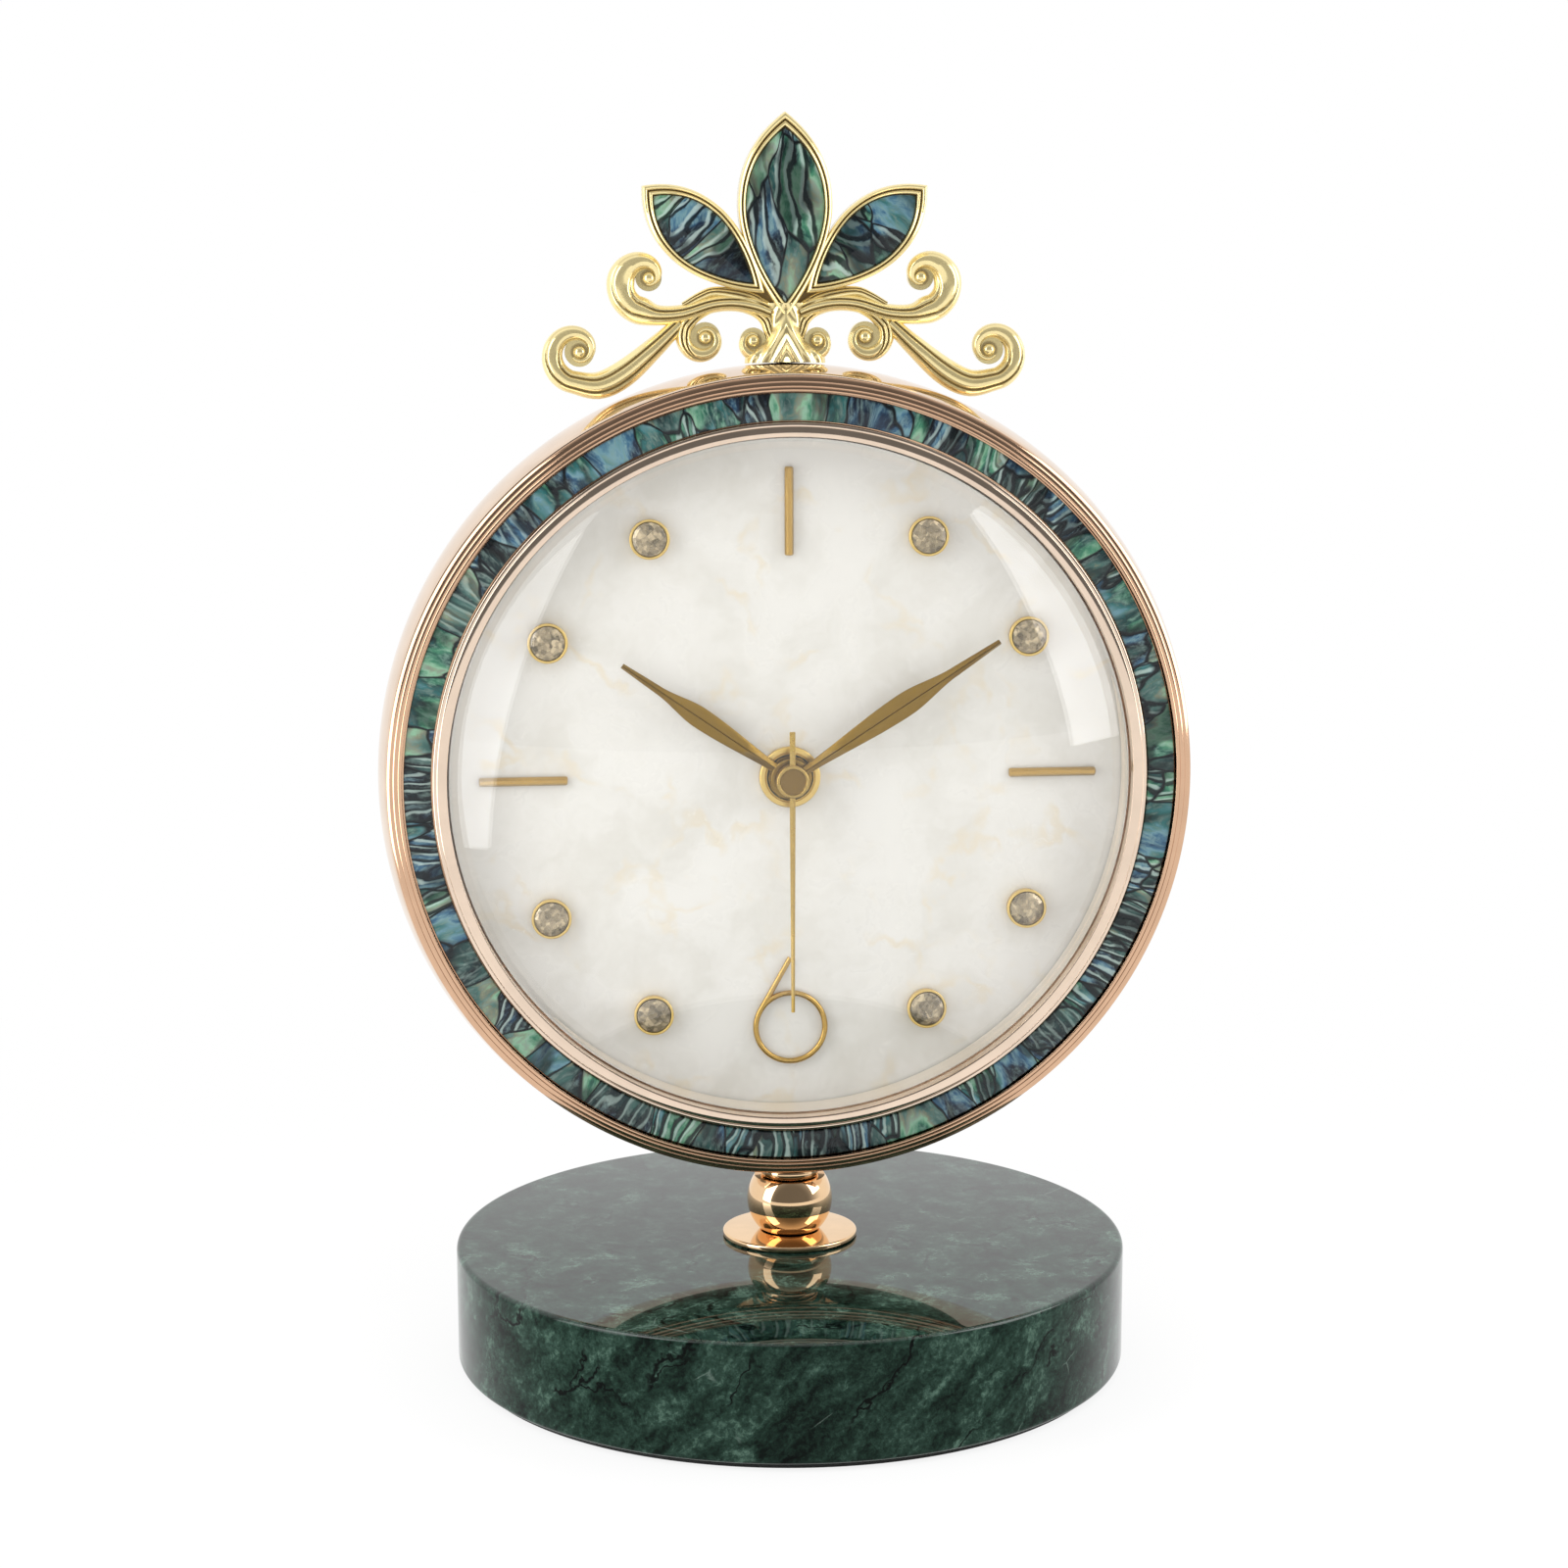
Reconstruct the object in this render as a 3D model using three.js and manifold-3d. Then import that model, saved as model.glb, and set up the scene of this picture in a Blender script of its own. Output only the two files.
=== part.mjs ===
import * as THREE from 'three';
import { mergeVertices } from 'three/addons/utils/BufferGeometryUtils.js';
import ManifoldModule from 'manifold-3d';

// Tabletop clock. Sizes are in millimetres. The foot's centre is the origin, +Z is up, the dial faces -Y.

// Clearances
const SEAT_GAP = 0.2;
const FIT_GAP = 0.3;
const RUNNING_GAP = 0.2;
const SCREW_GAP = 0.3;

// Facets
const RING_SIDES = 40;
const STEM_SIDES = 24;
const SHAFT_SIDES = 12;
const SMALL_SIDES = 10;
const CURVE_STEPS = 6;
const SOFT_CURVE_STEPS = 4;
const CORNER_STEPS = 3;
const SPIRAL_STEP = 30;
const HEX_SIDES = 6;
const MERGE_DISTANCE = 1e-5;

// Foot
const PAD_THICKNESS = 1;
const PAD_INSET = 2;
const BASE_RADIUS = 61;
const BASE_THICKNESS = 21;
const BASE_EDGE = 0.9;
const COUNTERBORE_DEPTH = 9;
const COUNTERBORE_GAP = 2.5;
const BOLT_RADIUS = 2;
const BOLT_HEAD_RADIUS = 4.6;
const BOLT_HEAD_HEIGHT = 4;
const BOLT_SOCKET_RADIUS = 2.3;
const BOLT_SOCKET_DEPTH = 2.2;
const BOLT_GRIP = 6.5;
const FLANGE_RADIUS = 12.3;
const FLANGE_THICKNESS = 1;
const FLANGE_EDGE = 0.35;
const BALL_RADIUS = 7.8;
const BALL_BELOW = 5.6;
const BALL_ABOVE = 4.4;
const BALL_STEPS = 7;
const SADDLE_RADIUS = 5.3;
const SADDLE_HEIGHT = 0.7;

// Case, from the visible edge of the dial outwards
const CASE_OVERHANG = 9;
const CASE_DEPTH = 27;
const VIEW_RADIUS = 60.5;
const CRYSTAL_RING_STEP = 0.5;
const CRYSTAL_RING_WIDTH = 2.5;
const CRYSTAL_RING_PROUD = 0.2;
const CRYSTAL_LAP = 1.7;
const CRYSTAL_THICKNESS = 2;
const CRYSTAL_RISE = 17;
const CRYSTAL_STEPS = 8;
const SHELL_WIDTH = 4.8;
const SHELL_THICKNESS = 1.7;
const RIM_WIDTH = 2.7;
const RIM_HEIGHT = 2.5;
const RIM_GROOVE = 0.5;
const BEZEL_PLATE = 3.2;
const BEZEL_LEDGE = 2.9;
const BEZEL_REBATE = 2.2;
const DRUM_LIP_STEP = 0.2;
const DRUM_SWELL = 1.5;
const DRUM_SWELL_AT = 12;
const DRUM_REAR_TAPER = 4.5;
const DRUM_STEPS = 3;
const DIAL_LAP = 3.2;
const DIAL_THICKNESS = 2;
const SHELF_WIDTH = 6;
const SHELF_THICKNESS = 1.8;
const REAR_LIP = 2;
const REAR_RECESS = 1.6;
const COVER_THICKNESS = 1.5;
const COVER_SEAT = 2.2;
const COVER_SCREWS = 3;
const FIRST_COVER_SCREW_AT = 30;
const COVER_SCREW_RADIUS = 1.2;
const COVER_SCREW_LENGTH = 8;
const SCREW_HEAD_RADIUS = 2.5;
const SCREW_HEAD_HEIGHT = 1.1;
const BOSS_RADIUS = 3.2;
const BOSS_INSET = 2.2;

// Dial trim
const BAR_MARGIN = 5.4;
const BAR_LENGTH = 15.6;
const BAR_WIDTH = 1.5;
const BAR_HEIGHT = 1.2;
const SIX_RADIUS = 6.75;
const SIX_WIRE = 1;
const SIX_CENTRE = 45.7;
const SIX_TAIL_RISE = 12.7;
const STUD_MARGIN = 11.2;
const STUD_RADIUS = 3.75;
const STUD_WALL = 0.45;
const STUD_HEIGHT = 1.9;
const STUD_FLOOR = 0.6;
const STONE_GAP = 0.15;
const STONE_GIRDLE = 1;
const STONE_CROWN = 0.6;
const STONE_TABLE = 0.6;
const STUD_HOURS = [1, 2, 4, 5, 7, 8, 10, 11];
const BAR_HOURS = [12, 3, 9];

// Hands, set at the time that they show
const SHOWN_HOUR = 10;
const SHOWN_MINUTE = 9.5;
const SHOWN_SECOND = 30;
const HAND_THICKNESS = 0.5;
const HAND_BOSS_HEIGHT = 0.9;
const HAND_SPACING = 0.6;
const HOUR_HAND = { length: 36.2, width: 3.8, root: 1.4, neck: 1.5, tip: 0.9, widest: 21, narrows: 30 };
const MINUTE_HAND = { length: 44.2, width: 4.3, root: 1.4, neck: 1.7, tip: 0.9, widest: 23.5, narrows: 34 };
const HOUR_BOSS_RADIUS = 3.6;
const MINUTE_BOSS_RADIUS = 2.8;
const SECOND_HAND_LENGTH = 41.8;
const SECOND_HAND_TAIL = 8.8;
const SECOND_HAND_WIDTH = 1;
const CAP_RADIUS = 2.9;
const CAP_HEIGHT = 1.5;
const CAP_ROOF = 0.5;
const NUT_RADIUS = 5.45;
const NUT_THICKNESS = 1.4;
const BUSH_RADIUS = 4;
const BUSH_PROUD = 0.3;

// Movement
const SECOND_ARBOR_RADIUS = 0.5;
const TUBE_WALL = 0.5;
const PIPE_WALL = 0.6;
const MOVEMENT_WALL = 1.5;
const MOVEMENT_CORNER = 3;
const MOVEMENT_COVER = 1.2;
const PARTITION = 0.9;
const WHEEL_THICKNESS = 0.9;
const LAYER_GAP = 0.5;
const PINION_OVERRUN = 0.1;
const WHEEL_CLEARANCE = 0.38;
const ADDENDUM = 0.8;
const DEDENDUM = 1.2;
const TIP_SHARE = 0.1;
const ROOT_SHARE = 0.27;
const MOTION_MODULE = 0.6;
const CANNON_TEETH = 10;
const MINUTE_WHEEL_TEETH = 30;
const MINUTE_PINION_TEETH = 8;
const HOUR_WHEEL_TEETH = 32;
const TRAIN_MODULE = 0.42;
const DRIVE_MODULE = 0.5;
const LEAVES = 6;
const CENTRE_WHEEL_TEETH = 48;
const THIRD_WHEEL_TEETH = 45;
const SECOND_WHEEL_TEETH = 36;
const FIFTH_WHEEL_TEETH = 30;
const THIRD_WHEEL_AT = 135;
const FIFTH_WHEEL_AT = 60;
const ROTOR_AT = 30;
const POST_RADIUS = 0.4;
const MAGNET_RADIUS = 2.75;
const MAGNET_HEIGHT = 2.8;
const MAGNET_STEP = 0.6;
const KNOB_STEM_RADIUS = 1;
const KNOB_RADIUS = 4.5;
const KNOB_HEIGHT = 2.4;
const KNOB_STANDOFF = 0.8;
const BOARD_THICKNESS = 1;
const BOARD_INSET = 4;
const BOARD_HEIGHT = 15;
const CONTACT_THICKNESS = 0.5;
const CONTACT_LAP = 1.4;
const CONTACT_WIDTH = 12;
const COIL_RADIUS = 3;
const COIL_LENGTH = 20;
const COIL_FLANGE = 0.8;
const COIL_SHIFT = 6;
const COIL_GAP = 1;
const STATOR_THICKNESS = 0.8;
const STATOR_HALF_WIDTH = 4.5;
const BATTERY_RADIUS = 7.1;
const BATTERY_LENGTH = 50.4;
const BATTERY_NUB_RADIUS = 2.75;
const BATTERY_NUB_LENGTH = 1.5;
const BATTERY_GAP = 0.3;
const WINDOW_GAP = 1;

// Crown, with X from its middle and heights from the top of the case
const CROWN_AT = 4.5;
const CROWN_DEPTH = 5;
const CROWN_FOOT_DEPTH = 7;
const CROWN_FOOT_HALF = 7.3;
const CROWN_FOOT_HEIGHT = 1.4;
const CROWN_WAIST_HALF = 3;
const CROWN_STEM_TOP = 10.5;
const CROWN_SINK = 2;
const CROWN_SCREW_AT = 6;
const CROWN_SCREW_RADIUS = 1.5;
const CROWN_SCREW_GRIP = 4.5;
const CROWN_SCREW_HEAD = 2.3;
const SCROLL_RIDGE = [-0.5, 0.25];
const SCROLL_SHOULDER = 0.33;
const EYE_RADIUS = 1.3;
const EYE_PROUD = 0.5;
const LEAF_DEPTH = 4.2;
const LEAF_RIM = 1.55;
const LEAF_TIP_RIM = 2.9;
const LEAF_POCKET = 1.8;
const LEAF_SHELL_THICKNESS = 1.2;
const LEAF_FULLNESS = 0.55;
const CENTRE_LEAF = { length: 35.7, half: 8.3, x: 0, z: 7.9, turn: 0 };
const SIDE_LEAF = { length: 28.4, half: 6.2, x: 3.7, z: 12.2, turn: 49 };
const WEB_HALF = 9.5;
const WEB_TOP = 20;
const WEB_DEPTH = 2;

// Scrolls of one side: the points that lead in, then a spiral about its eye, angles in degrees
const SCROLLS = [
  {
    lead: [[3.2, 0.8], [2.5, 5.2], [4.6, 9.8], [9.7, 11.9], [15.7, 10.4], [20.2, 8.8]],
    eye: [24.7, 15.4], from: -90, to: 200, outer: 6.7, inner: 1.2,
    start: 3, middle: 3.4, end: 2, steps: 21,
  },
  {
    lead: [[16.8, 9.6], [22.3, 4.4], [27.4, -0.8], [32.4, -4.4]],
    eye: [37, 2.2], from: -90, to: 250, outer: 5.8, inner: 1.4,
    start: 2.8, middle: 3.4, end: 1.8, steps: 19,
  },
  {
    lead: [[16.4, 10.2], [18, 7.4]],
    eye: [14.4, 4.4], from: 10, to: -250, outer: 2.9, inner: 1.1,
    start: 2.2, middle: 2, end: 1.4, steps: 11,
  },
  {
    lead: [[2.6, 4.2]],
    eye: [5.9, 4.1], from: 220, to: 480, outer: 2.9, inner: 1,
    start: 1.8, middle: 1.8, end: 1.2, steps: 11,
  },
];

// Colours and finishes
const MARBLE = { color: 0x1f3a30, roughness: 0.2, metalness: 0 };
const PAD = { color: 0x202020, roughness: 0.9, metalness: 0 };
const ROSE_GOLD = { color: 0xd9a07c, roughness: 0.18, metalness: 1 };
const YELLOW_GOLD = { color: 0xd8b860, roughness: 0.25, metalness: 1 };
const SATIN_GOLD = { color: 0xb59a5a, roughness: 0.45, metalness: 1 };
const ABALONE = { color: 0x2f6a68, roughness: 0.2, metalness: 0.2 };
const GLASS = { color: 0xffffff, roughness: 0.02, metalness: 0 };
const PEARL = { color: 0xf2ede2, roughness: 0.3, metalness: 0 };
const STONE = { color: 0xbdb49a, roughness: 0.1, metalness: 0 };
const BLACK_METAL = { color: 0x1c1c1e, roughness: 0.5, metalness: 0.6 };
const STEEL = { color: 0xb8bcc0, roughness: 0.3, metalness: 1 };
const DARK_PLASTIC = { color: 0x222426, roughness: 0.6, metalness: 0 };
const WHITE_PLASTIC = { color: 0xd8d8d2, roughness: 0.5, metalness: 0 };
const COPPER = { color: 0xb06a3a, roughness: 0.4, metalness: 0.8 };
const BOARD = { color: 0x2b6b3c, roughness: 0.5, metalness: 0 };
const CELL = { color: 0x3a3f45, roughness: 0.35, metalness: 0.3 };

const wasm = await ManifoldModule();
wasm.setup();

const radians = THREE.MathUtils.degToRad;
const QUARTER_TURN = 90;
const HALF_TURN = 180;
const FULL_TURN = 360;
const HOURS = 12;
const MINUTES = 60;
const HOUR_STEP = FULL_TURN / HOURS;
const MINUTE_STEP = FULL_TURN / MINUTES;

// A closed mesh with shared corners, no empty triangles and its faces outwards
function closed(geometry) {
  geometry.deleteAttribute('normal');
  geometry.deleteAttribute('uv');
  const merged = mergeVertices(geometry, MERGE_DISTANCE);
  const at = merged.getAttribute('position');
  const corners = merged.getIndex().array;
  const kept = [];
  let volume = 0;
  const [p, q, r] = [new THREE.Vector3(), new THREE.Vector3(), new THREE.Vector3()];
  for (let i = 0; i < corners.length; i += 3) {
    const [a, b, c] = [corners[i], corners[i + 1], corners[i + 2]];
    if (a === b || b === c || c === a) continue;
    kept.push([a, b, c]);
    p.fromBufferAttribute(at, a);
    q.fromBufferAttribute(at, b);
    r.fromBufferAttribute(at, c);
    volume += p.dot(q.cross(r));
  }
  const outward = volume < 0 ? kept.map(([a, b, c]) => [a, c, b]) : kept;
  merged.setIndex(outward.flat());
  return merged;
}

function toSolid(geometry) {
  const mesh = closed(geometry);
  return new wasm.Manifold(new wasm.Mesh({
    numProp: 3,
    vertProperties: Float32Array.from(mesh.getAttribute('position').array),
    triVerts: Uint32Array.from(mesh.getIndex().array),
  }));
}

function toGeometry(solid) {
  const { vertProperties, triVerts } = solid.getMesh();
  const geometry = new THREE.BufferGeometry();
  geometry.setAttribute('position', new THREE.Float32BufferAttribute(vertProperties, 3));
  geometry.setIndex(Array.from(triVerts));
  return geometry;
}

function join(...pieces) {
  return toGeometry(pieces.map(toSolid).reduce((sum, piece) => sum.add(piece)));
}

function cut(piece, ...tools) {
  return toGeometry(tools.map(toSolid).reduce((rest, tool) => rest.subtract(tool), toSolid(piece)));
}

// A profile of [radius, y] points turned about the Y axis
function turned(profile, sides = RING_SIDES) {
  const points = profile.map(([radius, y]) => new THREE.Vector2(radius, y));
  const ring = profile[0][0] > 0;
  return closed(new THREE.LatheGeometry(ring ? [...points, points[0].clone()] : points, sides));
}

function disc(radius, from, to, sides = SHAFT_SIDES) {
  return turned([[0, from], [radius, from], [radius, to], [0, to]], sides);
}

function tube(inner, outer, from, to, sides = SHAFT_SIDES) {
  return turned([[inner, from], [outer, from], [outer, to], [inner, to]], sides);
}

// A profile of [radius, z] points turned about the Z axis
function turnedUp(profile, sides = STEM_SIDES) {
  return turned(profile, sides).rotateX(Math.PI / 2);
}

// A shape in X and Z that runs from y = from to y = to
function plate(shape, from, to, curveSegments = CURVE_STEPS) {
  const settings = { depth: to - from, bevelEnabled: false, curveSegments };
  return closed(new THREE.ExtrudeGeometry(shape, settings).rotateX(Math.PI / 2).translate(0, to, 0));
}

function block(x0, x1, y0, y1, z0, z1) {
  const box = new THREE.BoxGeometry(x1 - x0, y1 - y0, z1 - z0);
  return closed(box.translate((x0 + x1) / 2, (y0 + y1) / 2, (z0 + z1) / 2));
}

function mesh(group, name, geometry, finish) {
  const piece = new THREE.Mesh(geometry, new THREE.MeshStandardMaterial(finish));
  piece.name = name;
  group.add(piece);
  return piece;
}

// Heights of the foot's pieces
const padTop = PAD_THICKNESS;
const baseBottom = padTop + SEAT_GAP;
const baseTop = baseBottom + BASE_THICKNESS;
const flangeBottom = baseTop + SEAT_GAP;
const flangeTop = flangeBottom + FLANGE_THICKNESS;
const ballCentre = flangeTop + SEAT_GAP + BALL_BELOW;
const saddleBottom = ballCentre + BALL_ABOVE + SEAT_GAP;
const boltHole = BOLT_RADIUS + SCREW_GAP;

// Radii of the case
const crystalRingInner = VIEW_RADIUS + CRYSTAL_RING_STEP;
const crystalRingOuter = crystalRingInner + CRYSTAL_RING_WIDTH;
const crystalRadius = crystalRingInner + CRYSTAL_LAP;
const crystalPocket = crystalRadius + FIT_GAP;
const shellInner = crystalRingOuter + FIT_GAP;
const shellOuter = shellInner + SHELL_WIDTH;
const rimInner = shellOuter + FIT_GAP;
const rimOuter = rimInner + RIM_WIDTH;
const bezelPlateRadius = rimOuter - BEZEL_REBATE;
const dialRadius = VIEW_RADIUS + DIAL_LAP;
const dialBore = dialRadius + FIT_GAP;
const drumLipRadius = rimOuter + DRUM_LIP_STEP;
const drumRadius = drumLipRadius + DRUM_SWELL;
const drumRearRadius = drumRadius - DRUM_REAR_TAPER;
const coverPocket = drumRearRadius - REAR_LIP;
const coverRadius = coverPocket - FIT_GAP;
const drumInner = coverRadius - COVER_SEAT;

// Depths of the case, from the rim at the front to the rear edge
const rimFront = -CASE_OVERHANG;
const channelFloor = rimFront + RIM_HEIGHT;
const crystalSeat = channelFloor + CRYSTAL_THICKNESS + FIT_GAP;
const bezelPlateBack = channelFloor + BEZEL_PLATE;
const bezelBack = crystalSeat + BEZEL_LEDGE;
const dialFront = bezelBack + FIT_GAP;
const dialBack = dialFront + DIAL_THICKNESS;
const shelfFront = dialBack + FIT_GAP;
const shelfBack = shelfFront + SHELF_THICKNESS;
const drumFront = channelFloor + DRUM_LIP_STEP + FIT_GAP;
const drumBack = rimFront + CASE_DEPTH;
const drumWidest = rimFront + DRUM_SWELL_AT;
const coverBack = drumBack - REAR_RECESS;
const coverFront = coverBack - COVER_THICKNESS;
const coverSeat = coverFront - SEAT_GAP;
const screwCircle = drumInner - BOSS_INSET;
const caseHeight = saddleBottom + SADDLE_HEIGHT + drumRadius;

// Depths of the hands, which stand in front of the dial nut
const nutBack = dialFront - SEAT_GAP;
const nutFront = nutBack - NUT_THICKNESS;
const bushFront = nutFront - BUSH_PROUD;
const hourBack = bushFront - HAND_SPACING;
const hourFront = hourBack - HAND_BOSS_HEIGHT;
const minuteBack = hourFront - HAND_SPACING;
const minuteFront = minuteBack - HAND_BOSS_HEIGHT;
const secondBack = minuteFront - HAND_SPACING;
const secondFront = secondBack - CAP_HEIGHT;

// Coaxial shafts
const tubeInner = SECOND_ARBOR_RADIUS + RUNNING_GAP;
const tubeOuter = tubeInner + TUBE_WALL;
const pipeInner = tubeOuter + RUNNING_GAP;
const pipeOuter = pipeInner + PIPE_WALL;
const bushInner = pipeOuter + RUNNING_GAP;
const bushHole = BUSH_RADIUS + RUNNING_GAP;

// Wheels, each in its own layer behind the front plate
const movementFront = dialBack + SEAT_GAP;
const plateBack = movementFront + MOVEMENT_WALL;
const WHEEL_ORDER = ['hour', 'minute', 'centre', 'third', 'second', 'fifth'];
const layer = (wheel) => plateBack + LAYER_GAP + WHEEL_ORDER.indexOf(wheel) * (WHEEL_THICKNESS + LAYER_GAP);
const layerBack = (wheel) => layer(wheel) + WHEEL_THICKNESS;
const tipRadius = (teeth, module) => module * (teeth / 2 + ADDENDUM);
const centres = (teeth, others, module) => module * (teeth + others) / 2;
const polar = (radius, degrees) => [radius * Math.cos(radians(degrees)), radius * Math.sin(radians(degrees))];
const motionDistance = centres(CANNON_TEETH, MINUTE_WHEEL_TEETH, MOTION_MODULE);
const motionPinionModule = 2 * motionDistance / (MINUTE_PINION_TEETH + HOUR_WHEEL_TEETH);
const trainDistance = centres(LEAVES, CENTRE_WHEEL_TEETH, TRAIN_MODULE);
const thirdModule = 2 * trainDistance / (LEAVES + THIRD_WHEEL_TEETH);
const secondDistance = centres(LEAVES, SECOND_WHEEL_TEETH, DRIVE_MODULE);
const rotorDistance = centres(LEAVES, FIFTH_WHEEL_TEETH, DRIVE_MODULE);
const minuteWheelAt = [motionDistance, 0];
const thirdAt = polar(trainDistance, THIRD_WHEEL_AT);
const fifthAt = polar(secondDistance, FIFTH_WHEEL_AT);
const rotorStep = polar(rotorDistance, ROTOR_AT);
const rotorAt = [fifthAt[0] + rotorStep[0], fifthAt[1] + rotorStep[1]];
const magnetFront = layerBack('fifth') + MAGNET_STEP;
const magnetBack = magnetFront + MAGNET_HEIGHT;

// The movement's housing, sized by what it holds
const boardFront = magnetBack + 2 * RUNNING_GAP;
const boardBack = boardFront + BOARD_THICKNESS;
const movementCoverFront = boardBack + FIT_GAP;
const housingBack = movementCoverFront - SEAT_GAP;
const movementBack = movementCoverFront + MOVEMENT_COVER;
const lowestWheel = Math.max(
  tipRadius(CENTRE_WHEEL_TEETH, TRAIN_MODULE),
  tipRadius(HOUR_WHEEL_TEETH, motionPinionModule),
  tipRadius(SECOND_WHEEL_TEETH, DRIVE_MODULE),
);
const partitionTop = -lowestWheel - WHEEL_CLEARANCE;
const partitionBottom = partitionTop - PARTITION;
const batteryHeight = partitionBottom - BATTERY_GAP - BATTERY_RADIUS;
const batteryDepth = plateBack + BATTERY_GAP + BATTERY_RADIUS;
const bayBottom = batteryHeight - BATTERY_RADIUS - BATTERY_GAP;
const bayHalf = BATTERY_LENGTH / 2 + BATTERY_GAP + CONTACT_THICKNESS + BATTERY_GAP;
const coilHeight = thirdAt[1] + tipRadius(THIRD_WHEEL_TEETH, thirdModule) + COIL_GAP + COIL_RADIUS;
const coilDepth = movementCoverFront - FIT_GAP - COIL_RADIUS;
const chamberTop = coilHeight + COIL_RADIUS + COIL_GAP;
const housingHalf = bayHalf + MOVEMENT_WALL;
const housingTop = chamberTop + MOVEMENT_WALL;
const housingBottom = bayBottom - MOVEMENT_WALL;

const clock = new THREE.Group();
const caseGroup = new THREE.Group();
caseGroup.position.z = caseHeight;
clock.add(caseGroup);

// Outer radius of the drum at a depth: two parabolas that meet at the widest place
function drumRadiusAt(y) {
  const reach = y < drumWidest ? drumWidest - drumFront : drumBack - drumWidest;
  const drop = y < drumWidest ? DRUM_SWELL : DRUM_REAR_TAPER;
  return drumRadius - drop * ((y - drumWidest) / reach) ** 2;
}

function drumOutline(gap) {
  const points = [];
  for (let i = 0; i <= 2 * DRUM_STEPS; i += 1) {
    const [from, to] = i < DRUM_STEPS ? [drumFront, drumWidest] : [drumWidest, drumBack];
    const y = from + (to - from) * (i < DRUM_STEPS ? i : i - DRUM_STEPS) / DRUM_STEPS;
    points.push([drumRadiusAt(y) + gap, y]);
  }
  return points;
}

// The drum's full form with a gap around it, to cut the seats of the pieces that stand on it
function drumEnvelope(gap) {
  return turned([[0, drumFront - gap], ...drumOutline(gap), [0, drumBack + gap]]);
}

function addFoot() {
  mesh(clock, 'base_pad', turnedUp([
    [0, 0],
    [BASE_RADIUS - PAD_INSET, 0],
    [BASE_RADIUS - PAD_INSET, padTop],
    [0, padTop],
  ], RING_SIDES), PAD);

  const counterbore = BOLT_HEAD_RADIUS + COUNTERBORE_GAP;
  const roof = baseBottom + COUNTERBORE_DEPTH;
  mesh(clock, 'marble_base', turnedUp([
    [counterbore, baseBottom],
    [BASE_RADIUS - BASE_EDGE, baseBottom],
    [BASE_RADIUS, baseBottom + BASE_EDGE],
    [BASE_RADIUS, baseTop - BASE_EDGE],
    [BASE_RADIUS - BASE_EDGE, baseTop],
    [boltHole, baseTop],
    [boltHole, roof],
    [counterbore, roof],
  ], RING_SIDES), MARBLE);

  const headTop = roof - SEAT_GAP;
  const headBottom = headTop - BOLT_HEAD_HEIGHT;
  const tip = caseHeight - drumRadius + BOLT_GRIP;
  const bolt = turnedUp([
    [0, headBottom],
    [BOLT_HEAD_RADIUS, headBottom],
    [BOLT_HEAD_RADIUS, headTop],
    [BOLT_RADIUS, headTop],
    [BOLT_RADIUS, tip],
    [0, tip],
  ], SHAFT_SIDES);
  const socket = turnedUp([
    [0, headBottom - SEAT_GAP],
    [BOLT_SOCKET_RADIUS, headBottom - SEAT_GAP],
    [BOLT_SOCKET_RADIUS, headBottom + BOLT_SOCKET_DEPTH],
    [0, headBottom + BOLT_SOCKET_DEPTH],
  ], HEX_SIDES);
  mesh(clock, 'base_bolt', cut(bolt, socket), STEEL);

  mesh(clock, 'stem_flange', turnedUp([
    [boltHole, flangeBottom],
    [FLANGE_RADIUS - FLANGE_EDGE, flangeBottom],
    [FLANGE_RADIUS, flangeBottom + FLANGE_EDGE],
    [FLANGE_RADIUS, flangeTop - FLANGE_EDGE],
    [FLANGE_RADIUS - FLANGE_EDGE, flangeTop],
    [boltHole, flangeTop],
  ]), ROSE_GOLD);

  const low = -Math.asin(BALL_BELOW / BALL_RADIUS);
  const high = Math.asin(BALL_ABOVE / BALL_RADIUS);
  const ball = [[boltHole, ballCentre - BALL_BELOW]];
  for (let i = 0; i <= BALL_STEPS; i += 1) {
    const angle = low + (high - low) * i / BALL_STEPS;
    ball.push([BALL_RADIUS * Math.cos(angle), ballCentre + BALL_RADIUS * Math.sin(angle)]);
  }
  ball.push([boltHole, ballCentre + BALL_ABOVE]);
  mesh(clock, 'stem_ball', turnedUp(ball), ROSE_GOLD);

  const saddleTop = saddleBottom + SADDLE_HEIGHT + SADDLE_RADIUS;
  const saddle = turnedUp([
    [boltHole, saddleBottom],
    [SADDLE_RADIUS, saddleBottom],
    [SADDLE_RADIUS, saddleTop],
    [boltHole, saddleTop],
  ], STEM_SIDES);
  const seat = drumEnvelope(FIT_GAP).translate(0, 0, caseHeight);
  mesh(clock, 'stem_saddle', cut(saddle, seat), ROSE_GOLD);
}

function coverScrewPlaces() {
  const places = [];
  for (let i = 0; i < COVER_SCREWS; i += 1) {
    places.push(polar(screwCircle, FIRST_COVER_SCREW_AT + FULL_TURN * i / COVER_SCREWS));
  }
  return places;
}

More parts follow.
